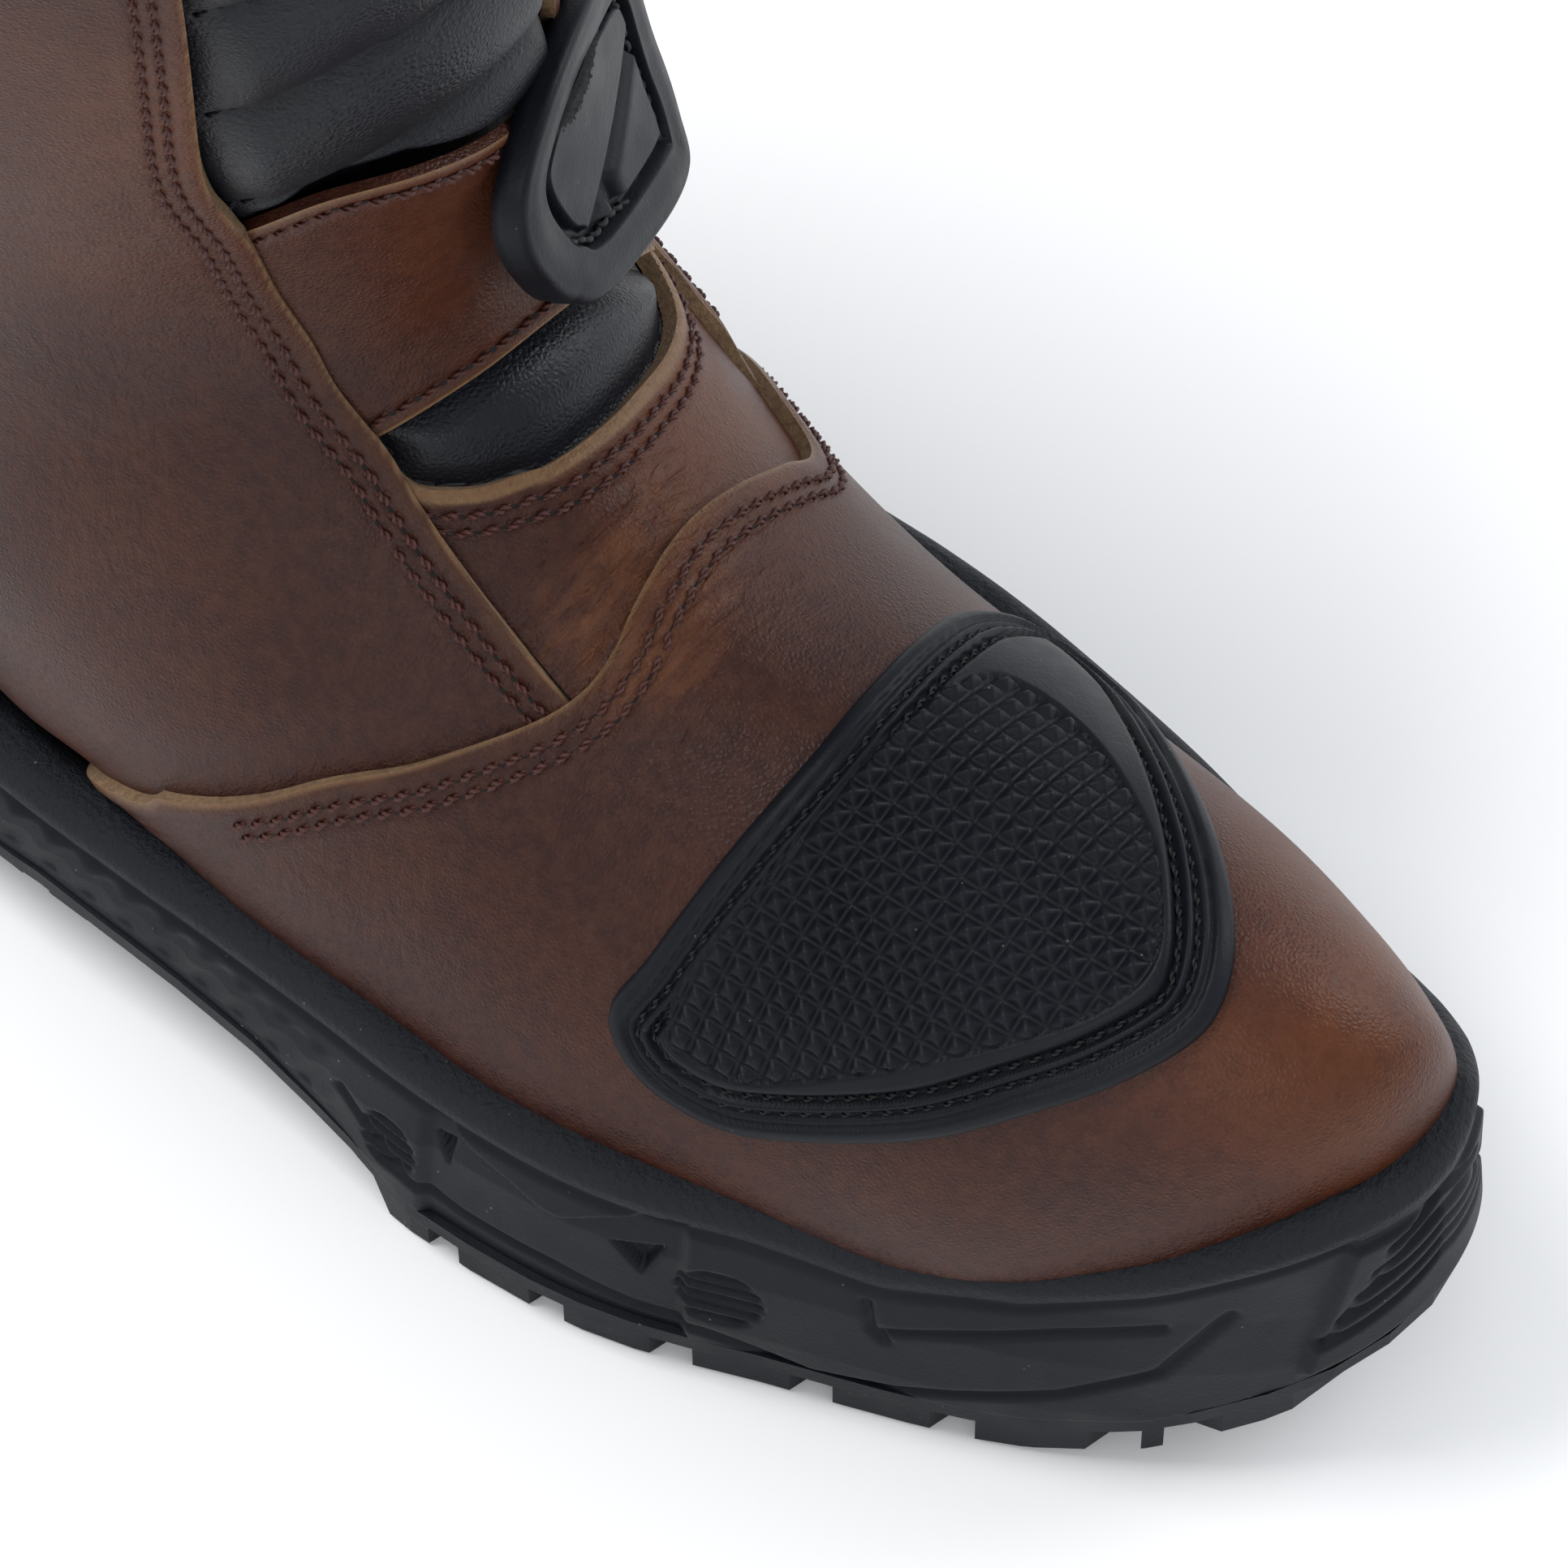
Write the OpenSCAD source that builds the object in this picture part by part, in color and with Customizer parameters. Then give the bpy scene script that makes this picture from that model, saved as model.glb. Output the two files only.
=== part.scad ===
// Right-foot touring riding boot: a leather upper with a padded tongue, a ribbed front gusset, two
// hook-and-loop closures with rubber pull tabs, a stitched-on rubber pad over the toes and a lugged sole.
// Millimetres. +Z is up, the toe points to -Y, the outer side of the foot is -X.
// The origin is on the ground below the ankle, at the front of the heel block.

/* [Leather and lining] */
// Thickness of the brown leather panels
leather = 2.0; // [1.6:0.1:2.4]
// Thickness of the inner lining
lining_thick = 1.3; // [1:0.1:1.6]
// Thickness of the stiffeners and pads between leather and lining
stiffener_thick = 0.7; // [0.5:0.1:0.8]

/* [Closures] */
// Thickness of the brown leather straps
strap_thick = 2.0; // [1.6:0.1:2.2]
// Thickness of each half of the hook-and-loop patches
patch_thick = 0.8; // [0.6:0.1:0.9]
// Thickness of the black band that carries each pull tab
band_thick = 1.8; // [1.4:0.1:2.2]
// Thickness of the rubber pull tabs
tab_thick = 4.4; // [3:0.2:5]

/* [Toe pad] */
// Height of the rubber toe pad over the leather
pad_thick = 3.2; // [2.4:0.2:4]

/* [Sole] */
// Gap between the upper and the inside of the sole's cup
cup_gap = 0.8; // [0.7:0.1:1]
// Thickness of the tread sheet that carries the lugs
tread_sheet = 3; // [2.5:0.5:4]
// Width of the grooves between the lugs
groove = 5; // [4:1:6]

/* [Hidden] */

BROWN = [0.30, 0.17, 0.12];
BLACK = [0.09, 0.09, 0.10];
TAN = [0.52, 0.42, 0.30];

// Sections of the upper's outer surface, from the toe to the top of the shaft. Each one is a ring
// in the plane through its front and back points, across the boot:
// front y, front z, back y, back z, middle x, half width, where along the plane the ring is widest,
// roundness of its front half, squareness of its back half, sideways shift of its crest.
STATIONS = [
    [-241, 60, -241, 60, 14, 0, 0.64, 2, 2.4, 0],
    [-238.5, 73, -238.5, 46, 13, 11.5, 0.68, 2, 2.6, 0],
    [-231, 81, -231, 38, 10, 20, 0.73, 2, 3, 0],
    [-218, 86, -218, 30, 7, 28.5, 0.76, 2, 3.4, 0],
    [-199, 88, -199, 27, 4, 37, 0.77, 1.9, 4, 0],
    [-171, 90, -171, 25, 1, 43.5, 0.79, 1.8, 4.5, 0],
    [-140, 94, -140, 24, -2, 48, 0.79, 1.75, 4.5, 0],
    [-114, 102, -112, 24, -1, 49.5, 0.79, 1.75, 4.5, 1],
    [-98, 114, -80, 26, -1, 49.5, 0.72, 1.85, 4, 3],
    [-92, 127, -30, 28, -1, 48, 0.62, 1.95, 3.5, 4],
    [-92, 140, 20, 32, 0, 46, 0.55, 2, 3, 4],
    [-93, 154, 43, 58, 1, 48, 0.52, 2, 2.6, 3],
    [-95, 170, 46, 100, 1, 51, 0.5, 2, 2.3, 2],
    [-96, 190, 42, 150, 1, 55, 0.5, 2, 2.2, 1],
    [-96, 225, 42, 205, 0, 58, 0.5, 2, 2.1, 0],
    [-95, 268, 46, 262, 0, 60, 0.5, 2, 2, 0],
    [-94, 315, 50, 315, 0, 62, 0.5, 2, 2, 0],
];
TOP = len(STATIONS) - 1;

// Seams. An angle of 0 is the crest of a ring, -90 its outer side and 180 its bottom or back.
// Top edge of the toe cap: angle, station
CAP_SEAM = [[-140, 8.5], [-100, 8.35], [-66, 7.6], [-48, 7], [-34, 6.61], [-25, 6.45], [-17, 6.43],
    [-9, 6.49], [2, 6.55], [13, 6.6], [25, 6.62], [37, 6.64], [50, 6.75], [66, 7.5], [100, 8.35],
    [140, 8.5]];
// Top edge of the vamp, with the round throat in its middle: angle, station
VAMP_TOP = [[-26.3, 6.55], [-25, 7.15], [-23.8, 7.85], [-22.5, 7.8], [-15, 7.53], [-4, 7.31], [14, 7.28],
    [31, 7.44], [43, 7.72], [47, 7.96], [51, 8.2], [54, 7.88], [57, 7.56], [60, 7.34]];
// Front edge of each quarter: station, angle
OUTER_FRONT = [[6.5, -27.2], [7.12, -25.7], [7.9, -24.5], [8.4, -24.4], [9.5, -28], [11.7, -35],
    [12.7, -38.5], [13.9, -35.5], [16, -34]];
INNER_FRONT = [[7.35, 61], [7.6, 57.6], [7.9, 54.6], [8.27, 52], [9, 45], [10, 34], [11, 25], [12, 20],
    [13, 18], [16, 18]];
// Lower edge of each quarter: station, angle
OUTER_LOW = [[6.5, -28], [6.61, -33], [7, -47], [7.6, -65], [8.35, -99], [8.5, -138], [10, -141],
    [10.4, -164], [16, -164]];
INNER_LOW = [[7.35, 63.5], [7.5, 67], [8.35, 101], [8.5, 138], [10, 141], [10.4, 164], [16, 164]];
// Lower edge of the tongue pad: angle, station
THROAT = [[-23, 7.88], [-15, 7.59], [-4, 7.37], [14, 7.34], [31, 7.5], [43, 7.78], [51, 8.26]];

// Outline of the toe pad: station, angle
PAD_RIM = [[5.66, -59], [5.6, -48], [5.53, -30], [5.48, -11], [5.5, 8], [5.55, 24], [5.58, 38], [5.48, 51],
    [5.2, 55], [4.86, 52], [4.57, 45], [4.1, 31], [3.56, 14], [3.2, -1], [3.04, -15], [3.11, -26],
    [3.4, -38], [3.75, -47], [4.2, -58], [4.75, -67], [5.1, -70], [5.45, -67]];
PAD_MIDDLE = [4.5, -10];
// Outline of the guard on the inner side of the ankle: station, angle
GUARD_RIM = [[9.4, 84], [10.1, 81], [10.8, 84], [11.3, 92], [11.4, 108], [11, 124], [10.3, 130],
    [9.6, 122], [9.1, 108], [9, 92]];
GUARD_MIDDLE = [10.2, 104];

// Outline of the sole in plan, from the toe round the outer side to the heel and back
SOLE_RIM = [[12, -247], [-4, -243], [-18, -231], [-30, -214], [-38, -198], [-46, -179], [-53, -163],
    [-57, -148], [-59, -128], [-58, -110], [-57, -85], [-57, -55], [-55, -25], [-50, 5], [-42, 30],
    [-27, 46.5], [-7, 53], [14, 52], [31, 43], [42, 25], [47, 0], [50, -30], [53, -60], [55.5, -90],
    [57, -118], [57.5, -140], [56, -160], [53.5, -180], [50, -197], [45, -213], [38, -229], [27, -242]];
// Side views of the sole: y and z of the cup's top edge, of the midsole's underside and of the tread's
CUP_TOP = [[-260, 61], [-243, 60], [-236, 56], [-226, 49], [-212, 42], [-194, 38], [-176, 40],
    [-126, 40.5], [-110, 39], [-80, 36.5], [-40, 36], [0, 39], [30, 45], [70, 48]];
MIDSOLE_LOW = [[-260, 31], [-246, 25], [-238, 20], [-226, 13], [-212, 10], [-195, 9], [-128, 9],
    [-118, 15], [-100, 19], [-60, 20], [-40, 17], [-30, 12], [70, 12]];
GROUND = [[-260, 24], [-246, 17], [-238, 12], [-226, 4], [-212, 0.5], [-206, 0], [-124, 0], [-120, 12],
    [-100, 16], [-40, 14], [-30, 10], [-28, 0], [44, 0], [70, 5]];
// How far the sole's side wall leans in at each height
WALL = [[0, 0], [14, 0], [26, 1.2], [38, 4.2], [64, 7]];
// Share of that lean at each y
TOE_LEAN = [[-247, 0.3], [-236, 0.4], [-205, 1]];

// Closures. Lower and upper edge of each brown strap: angle, station
ANKLE_STRAP = [[[-24, 8.4], [-10, 8.26], [7, 8.16], [40, 8.1]],
    [[-35, 11.8], [-25, 12.04], [-14, 11.92], [1, 11.5], [40, 10.9]]];
CALF_STRAP = [[[-35, 14.62], [40, 14.66]], [[-35, 15.5], [40, 15.52]]];
// Outline of each pull tab: station, angle
ANKLE_TAB = [[8.2, 20], [8.43, 10], [9, 2.7], [10, -3.2], [10.8, -4.5], [11.35, -0.6], [11.7, 9],
    [11.75, 20], [11.6, 32], [11.35, 42], [10.9, 45.5], [10, 46], [9.1, 46], [8.55, 44], [8.25, 34]];
CALF_TAB = [[14.55, 14], [14.6, 5], [14.78, -3], [15.05, -6], [15.32, -3], [15.5, 5], [15.56, 14],
    [15.55, 24], [15.47, 31], [15.3, 33.5], [15.05, 34], [14.8, 33.5], [14.63, 31], [14.56, 24]];
// Middle of each tab, then the station range of its band, and the angle where the band is sewn down
ANKLE_BAND = [[9.95, 21], 8.8, 11.1, 74];
CALF_BAND = [[15.05, 14], 14.7, 15.4, 62];
STRAP_END = 38;
strap_lift = 1.6;
loop_lift = strap_lift + strap_thick + 0.45;
hook_lift = loop_lift + patch_thick + 0.45;
tab_lift = hook_lift + patch_thick + 0.45;
root_lift = 0.6;

function lerp(a, b, t) = a + (b - a) * t;
function spline(a, b, c, d, t) =
    (2 * b + (c - a) * t + (2 * a - 5 * b + 4 * c - d) * t * t + (3 * b - a - 3 * c + d) * t * t * t) / 2;
// The station before the toe is the first one turned over, so the toe is round and closed.
function before_toe(s) = [s[2], s[3], s[0], s[1], s[4], -s[5], s[6], s[7], s[8], s[9]];
function station_at(i) = i < 0 ? before_toe(STATIONS[1])
    : i > TOP ? 2 * STATIONS[TOP] - STATIONS[TOP - 1] : STATIONS[i];
function section(s) = let (i = min(floor(s), TOP - 1))
    spline(station_at(i - 1), station_at(i), station_at(i + 1), station_at(i + 2), s - i);
function power(x, e) = sign(x) * pow(abs(x), e);
function on_boot(s, a) = let (
    q = section(s),
    front = cos(a) > 0,
    e = 2 / (front ? q[7] : q[8]),
    c = power(cos(a), e),
    t = front ? q[6] * (1 - c) : q[6] - (1 - q[6]) * c)
    [q[4] + q[5] * power(sin(a), e) + q[9] * max(cos(a), 0), lerp(q[0], q[2], t), lerp(q[1], q[3], t)];
function outward(s, a) = let (
    along = on_boot(s + 0.01, a) - on_boot(s - 0.01, a),
    around = on_boot(s, a + 0.5) - on_boot(s, a - 0.5),
    n = cross(around, along))
    n / norm(n);
function lifted(p, h) = on_boot(p[0], p[1]) + h * outward(p[0], p[1]);
function range_of(a, b, n) = [for (i = [0:n]) lerp(a, b, i / n)];

// Smooth closed curve through a ring of points
function smooth_ring(ring, steps) = let (n = len(ring)) [for (i = [0:n - 1], k = [0:steps - 1])
    spline(ring[(i + n - 1) % n], ring[i], ring[(i + 1) % n], ring[(i + 2) % n], k / steps)];

// Faces between neighbouring rows of points; wrapped rows close on themselves
function row_faces(rows, cols, start, wrapped, flipped) = [
    for (i = [0:rows - 2], j = [0:cols - (wrapped ? 1 : 2)]) let (
        a = start + i * cols + j,
        b = start + i * cols + (j + 1) % cols,
        c = b + cols,
        d = a + cols)
        each flipped ? [[a, b, c], [a, c, d]] : [[a, c, b], [a, d, c]]];

// Four-sided sheet on the boot's surface. Each point of the grid is [station, angle, lift].
module sheet(table, thick) {
    rows = len(table);
    cols = len(table[0]);
    down = table[1][0] - table[0][0];
    along = table[0][1] - table[0][0];
    grid = down[0] * along[1] < down[1] * along[0] ? table
        : [for (row = table) [for (j = [cols - 1:-1:0]) row[j]]];
    half = rows * cols;
    points = [for (h = [0, thick]) each [for (row = grid, p = row) lifted(p, p[2] + h)]];
    ends = [for (i = [0:rows - 2]) let (a = i * cols, b = a + cols - 1) each [
        [a, a + half, a + half + cols], [a, a + half + cols, a + cols],
        [b, b + half + cols, b + half], [b, b + cols, b + half + cols]]];
    sides = [for (j = [0:cols - 2]) let (a = j, b = half - cols + j) each [
        [a, a + half + 1, a + half], [a, a + 1, a + half + 1],
        [b, b + half, b + half + 1], [b, b + half + 1, b + 1]]];
    polyhedron(points, concat(row_faces(rows, cols, 0, false, false),
        row_faces(rows, cols, half, false, true), ends, sides));
}

// Closed sock: rows of rings, the first one closed by a flat end, the last one an open rim
module sock(grid, thick) {
    rows = len(grid);
    cols = len(grid[0]);
    half = rows * cols;
    points = [for (h = [0, thick]) each [for (row = grid, p = row) lifted(p, p[2] + h)]];
    tip = [for (j = [1:cols - 2]) each [[0, j + 1, j], [half, half + j, half + j + 1]]];
    rim = [for (j = [0:cols - 1]) let (a = half - cols + j, b = half - cols + (j + 1) % cols) each [
        [a, b + half, a + half], [a, b, b + half]]];
    polyhedron(points, concat(row_faces(rows, cols, 0, true, true),
        row_faces(rows, cols, half, true, false), tip, rim));
}
// Band round the boot between two open rims
module sleeve(stations, angles, lift, thick) {
    rows = len(stations);
    cols = len(angles);
    half = rows * cols;
    points = [for (h = [0, thick]) each [for (s = stations, a = angles) lifted([s, a], lift + h)]];
    rims = [for (j = [0:cols - 1]) let (
        a = j, b = (j + 1) % cols, c = half - cols + a, d = half - cols + b) each [
        [a, a + half, b + half], [a, b + half, b], [c, d + half, c + half], [c, d, d + half]]];
    polyhedron(points, concat(row_faces(rows, cols, 0, true, true),
        row_faces(rows, cols, half, true, false), rims));
}
// Round or D-shaped plate on the boot's surface, spread from its middle to its rim
module plate(middle, rim, lift, thick, rings) {
    n = len(rim);
    half = 1 + rings * n;
    points = [for (h = [lift, lift + thick]) each concat([lifted(middle, h)],
        [for (r = [1:rings], p = rim) lifted(lerp(middle, p, r / rings), h)])];
    fan = [for (j = [0:n - 1]) let (k = (j + 1) % n) each [
        [0, 1 + k, 1 + j], [half, half + 1 + j, half + 1 + k]]];
    edge = [for (j = [0:n - 1]) let (a = half - n + j, b = half - n + (j + 1) % n) each [
        [a, b + half, a + half], [a, b, b + half]]];
    polyhedron(points, concat(fan, edge, row_faces(rings, n, 1, true, true),
        row_faces(rings, n, half + 1, true, false)));
}

// Grids of [station, angle, lift] for the panels
function between_angles(stations, from, to, cols, lift) = [for (s = stations)
    [for (a = range_of(lookup(s, from), lookup(s, to), cols)) [s, a, lift]]];
function between_stations(angles, from, to, cols, lift) = [for (a = angles)
    [for (s = range_of(lookup(a, from), lookup(a, to), cols)) [s, a, lift]]];

module side_view(profile, level) {
    rotate([90, 0, 90]) linear_extrude(160, center = true)
        polygon(concat(profile, [[profile[len(profile) - 1][0], level], [profile[0][0], level]]));
}
// The sole's outline moved in by a distance, less at the upright toe
function inset(ring, d) = let (n = len(ring)) [for (i = [0:n - 1])
    let (t = ring[(i + 1) % n] - ring[(i + n - 1) % n])
    ring[i] + d * lookup(ring[i][1], TOE_LEAN) * [t[1], -t[0]] / norm(t)];
// Block with the sole's outline and its leaning side wall
module sole_block() {
    ring = smooth_ring(SOLE_RIM, 2);
    n = len(ring);
    points = [for (w = WALL, p = inset(ring, w[1])) [p[0], p[1], w[0]]];
    top = (len(WALL) - 1) * n;
    caps = [for (j = [0:n - 1]) let (k = (j + 1) % n) each [
        [len(points), k, j], [len(points) + 1, top + j, top + k]]];
    polyhedron(concat(points, [[0, -100, 0], [0, -100, WALL[len(WALL) - 1][0]]]),
        concat(caps, row_faces(len(WALL), n, 0, true, true)));
}
// The space that the upper fills inside the sole's cup
module last_space() {
    rows = concat(range_of(0.4, 3, 7), range_of(3.5, 9, 11), range_of(9.4, 12, 8));
    angles = concat(range_of(-174, -90, 14), range_of(-75, 75, 6), range_of(90, 180, 15));
    cols = len(angles);
    last = len(rows) * cols - cols;
    ends = [for (j = [1:cols - 2]) each [[0, j + 1, j], [last, last + j, last + j + 1]]];
    polyhedron([for (s = rows, a = angles) lifted([s, a], cup_gap)],
        concat(ends, row_faces(len(rows), cols, 0, true, false)));
}

module outsole() {
    color(BLACK) {
        intersection() {
            linear_extrude(40) polygon(smooth_ring(SOLE_RIM, 2));
            side_view(MIDSOLE_LOW, -10);
            side_view([for (p = MIDSOLE_LOW) p - [0, tread_sheet]], 60);
        }
        intersection() {
            linear_extrude(40) polygon(inset(smooth_ring(SOLE_RIM, 2), 0.6));
            side_view([for (p = MIDSOLE_LOW) p - [0, 1]], -10);
            side_view(GROUND, 60);
            lugs();
        }
    }
}
// Tread: chevron blocks under the ball of the foot, bars under the arch, blocks under the heel
module lugs() {
    pitch = 16;
    block = pitch - groove;
    for (row = [0:8]) translate([0, -238 + row * pitch, 0]) {
        linear_extrude(40) polygon([[-15, 0], [0, -4], [15, 0], [15, block], [0, block - 4], [-15, block]]);
        for (side = [-1, 1]) linear_extrude(40) polygon([[side * (15 + groove), 1], [side * 70, 14],
            [side * 70, 14 + block], [side * (15 + groove), 1 + block]]);
    }
    for (row = [0:4]) translate([-70, -92 + row * 12, 0]) cube([140, 12 - groove, 40]);
    translate([-9, -26, 0]) cube([18, 62, 40]);
    for (row = [0:4]) for (side = [-1, 1]) translate([0, -26 + row * pitch, 0])
        linear_extrude(40) polygon([[side * (9 + groove), 0], [side * 70, 4], [side * 70, 4 + block],
            [side * (9 + groove), block]]);
}
module midsole() {
    color(BLACK) difference() {
        intersection() {
            sole_block();
            side_view(CUP_TOP, -10);
            side_view(MIDSOLE_LOW, 80);
        }
        last_space();
    }
}
module insole_board() {
    color(TAN) sheet([for (s = concat(range_of(1.6, 3, 3), range_of(3.6, 9, 8), [9.5, 10, 10.25]))
        let (half_angle = s > 10.1 ? 18 : 32)
        [for (a = range_of(180 - half_angle, 180 + half_angle, 6)) [s, a, -2]]], 1.4);
}
module shank() {
    color([0.6, 0.6, 0.62]) sheet([for (s = [6.3, 6.975, 7.65, 8.325, 9, 9.5])
        [for (a = range_of(174, 186, 2)) [s, a, -3.4]]], 0.8);
}
module footbed() {
    color([0.2, 0.2, 0.22]) sheet([for (s = concat(range_of(2.2, 3, 2), range_of(3.6, 9, 8), [9.5, 9.9]))
        [for (a = range_of(151, 209, 6)) [s, a, -9.5]]], 4);
}
stiffener_lift = -leather - 0.65 - stiffener_thick;
module toe_puff() {
    color([0.75, 0.72, 0.62]) sheet([for (s = [0.8, 1.1, 1.5, 2, 2.6, 3.3, 4, 4.8])
        [for (a = range_of(-120, 120, 18)) [s, a, stiffener_lift]]], stiffener_thick);
}
module heel_counter() {
    color([0.75, 0.72, 0.62]) sheet([for (s = [10.5, 10.8, 11.1, 11.5, 12])
        [for (a = range_of(105, 255, 14)) [s, a, stiffener_lift]]], stiffener_thick);
}
module ankle_pad(side) {
    color([0.35, 0.35, 0.38]) plate([10.6, side * 78],
        [for (k = [0:23]) [10.6 + 0.75 * cos(k * 15), side * 78 + 22 * sin(k * 15)]],
        stiffener_lift, stiffener_thick, 4);
}
module lateral_ankle_pad() ankle_pad(-1);
module medial_ankle_pad() ankle_pad(1);
module lining() {
    rows = concat([0.9, 1.4, 2], range_of(2.7, 9, 10), range_of(9.5, 12, 6), range_of(12.8, 15, 3));
    angles = concat(range_of(-174, -92, 7), range_of(-80, 80, 7), range_of(92, 180, 8));
    color([0.16, 0.16, 0.17]) sock([for (s = rows) [for (a = angles) [s, a, -3.9 - lining_thick]]],
        lining_thick);
}
module toe_cap() {
    angles = concat(range_of(-138, -92, 4), range_of(-84, 84, 14), range_of(92, 138, 4));
    color(BROWN) sheet([for (a = angles) [for (t = range_of(0, 1, 13))
        [lerp(0.15, lookup(a, CAP_SEAM) - 0.02, pow(t, 0.9)), a, -leather]]], leather);
}
module vamp() {
    color(BROWN) sheet(between_stations(concat([-26.2, -25, -23.8], range_of(-22.5, 51, 14), [54, 57]),
        [for (p = CAP_SEAM) p + [0, 0.03]], VAMP_TOP, 5, -leather), leather);
}
module lateral_quarter() {
    stations = concat([6.53], range_of(6.7, 9.5, 8), range_of(9.9, 12.2, 6), range_of(12.8, 16, 5));
    color(BROWN) sheet(between_angles(stations, OUTER_FRONT, OUTER_LOW, 12, -leather), leather);
}
module medial_quarter() {
    stations = concat([7.38], range_of(7.6, 9.5, 6), range_of(9.9, 12.2, 6), range_of(12.8, 16, 5));
    color(BROWN) sheet(between_angles(stations, INNER_FRONT, INNER_LOW, 12, -leather), leather);
}
module backstay() {
    color(BROWN) sheet([for (s = concat(range_of(10.45, 12.2, 5), range_of(12.8, 16, 5)))
        [for (a = range_of(165, 195, 4)) [s, a, -leather]]], leather);
}
module collar() {
    color(BLACK) sleeve([15.15, 15.6, 15.97], range_of(-172.5, 180, 23), -6.5, 4);
}
module tongue_pad() {
    color(BLACK) sheet([for (u = range_of(0, 1, 12)) [for (t = range_of(0, 1, 7)) let (
        low = lerp(-22.8, 50.6, u),
        s = lerp(lookup(low, THROAT) + 0.03, 10.3, t),
        high = lerp(lookup(s, OUTER_FRONT) + 1, lookup(s, INNER_FRONT) - 1, u))
        [s, lerp(low, high, min(1, 3 * t)), -2.6]]], 3.4);
}
module front_gusset() {
    color(BLACK) sheet([for (s = concat(range_of(10.36, 12, 5), range_of(12.5, 16, 6)))
        [for (a = range_of(lookup(s, OUTER_FRONT) + 1, lookup(s, INNER_FRONT) - 1, 8)) [s, a, -2.3]]], 2.3);
}
module shift_pad() {
    color(BLACK) plate(PAD_MIDDLE, smooth_ring(PAD_RIM, 2), 0.6, pad_thick, 5);
}
module medial_guard() {
    color(BLACK) plate(GUARD_MIDDLE, smooth_ring(GUARD_RIM, 2), 0.6, 1.8, 3);
}

// Brown strap from the edge of the outer quarter across the front
module strap(edges) {
    color(BROWN) sheet([for (u = range_of(0, 1, 12)) [for (t = range_of(0, 1, 4)) let (
        low = lookup(lerp(-30, STRAP_END, u), edges[0]),
        high = lookup(lerp(-30, STRAP_END, u), edges[1]),
        s = lerp(low, high, t))
        [s, lerp(lookup(s, OUTER_FRONT) + 1, STRAP_END, u), strap_lift]]], strap_thick);
}
module tab_plate(outline, middle, scale, lift, thick) {
    plate(middle, [for (p = smooth_ring(outline, 2)) lerp(middle, p, scale)], lift, thick, 3);
}
// Band from under the pull tab to where it is sewn to the inner quarter
module band(b) {
    start = b == ANKLE_BAND ? 46.6 : 34.6;
    color(BLACK) sheet([for (a = range_of(start, b[3], 8)) [for (s = range_of(b[1], b[2], 4))
        [s, a, lerp(tab_lift + 1, root_lift, min(1, (a - start) / 14))]]], band_thick);
}
module ankle_strap() strap(ANKLE_STRAP);
module ankle_loop_patch() {
    color(BLACK) tab_plate(ANKLE_TAB, ANKLE_BAND[0], 0.72, loop_lift, patch_thick);
}
module ankle_hook_patch() {
    color(BLACK) tab_plate(ANKLE_TAB, ANKLE_BAND[0], 0.72, hook_lift, patch_thick);
}
module ankle_band() band(ANKLE_BAND);
module ankle_tab() {
    color(BLACK) tab_plate(ANKLE_TAB, ANKLE_BAND[0], 1, tab_lift, tab_thick);
}
module calf_strap() strap(CALF_STRAP);
module calf_loop_patch() {
    color(BLACK) tab_plate(CALF_TAB, CALF_BAND[0], 0.78, loop_lift, patch_thick);
}
module calf_hook_patch() {
    color(BLACK) tab_plate(CALF_TAB, CALF_BAND[0], 0.78, hook_lift, patch_thick);
}
module calf_band() band(CALF_BAND);
module calf_tab() {
    color(BLACK) tab_plate(CALF_TAB, CALF_BAND[0], 1, tab_lift, tab_thick);
}

outsole();
midsole();
insole_board();
shank();
footbed();
toe_puff();
heel_counter();
lateral_ankle_pad();
medial_ankle_pad();
lining();
toe_cap();
vamp();
lateral_quarter();
medial_quarter();
backstay();
collar();
tongue_pad();
front_gusset();
shift_pad();
medial_guard();
ankle_strap();
ankle_loop_patch();
ankle_hook_patch();
ankle_band();
ankle_tab();
calf_strap();
calf_loop_patch();
calf_hook_patch();
calf_band();
calf_tab();
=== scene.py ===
import math

import bpy
import numpy as np
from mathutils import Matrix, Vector


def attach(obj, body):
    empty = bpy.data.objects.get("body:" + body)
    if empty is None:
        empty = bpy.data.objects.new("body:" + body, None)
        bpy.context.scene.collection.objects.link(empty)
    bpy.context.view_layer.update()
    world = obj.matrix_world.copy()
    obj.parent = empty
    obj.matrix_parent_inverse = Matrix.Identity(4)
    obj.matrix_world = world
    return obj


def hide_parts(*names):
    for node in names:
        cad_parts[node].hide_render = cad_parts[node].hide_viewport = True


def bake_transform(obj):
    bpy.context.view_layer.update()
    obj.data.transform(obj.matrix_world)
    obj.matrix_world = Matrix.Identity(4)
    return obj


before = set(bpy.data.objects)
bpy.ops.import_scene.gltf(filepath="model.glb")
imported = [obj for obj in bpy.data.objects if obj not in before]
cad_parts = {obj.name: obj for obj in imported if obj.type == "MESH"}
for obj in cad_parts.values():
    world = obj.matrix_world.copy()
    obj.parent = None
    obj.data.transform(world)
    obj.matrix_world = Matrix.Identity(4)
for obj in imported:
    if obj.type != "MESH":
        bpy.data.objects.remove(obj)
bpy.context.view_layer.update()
rng = np.random.default_rng(7)
MM = 0.001

# ---------------------------------------------------------------- camera, light and floor
scene = bpy.context.scene
scene.view_settings.view_transform = "Standard"
scene.view_settings.look = "None"

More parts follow.
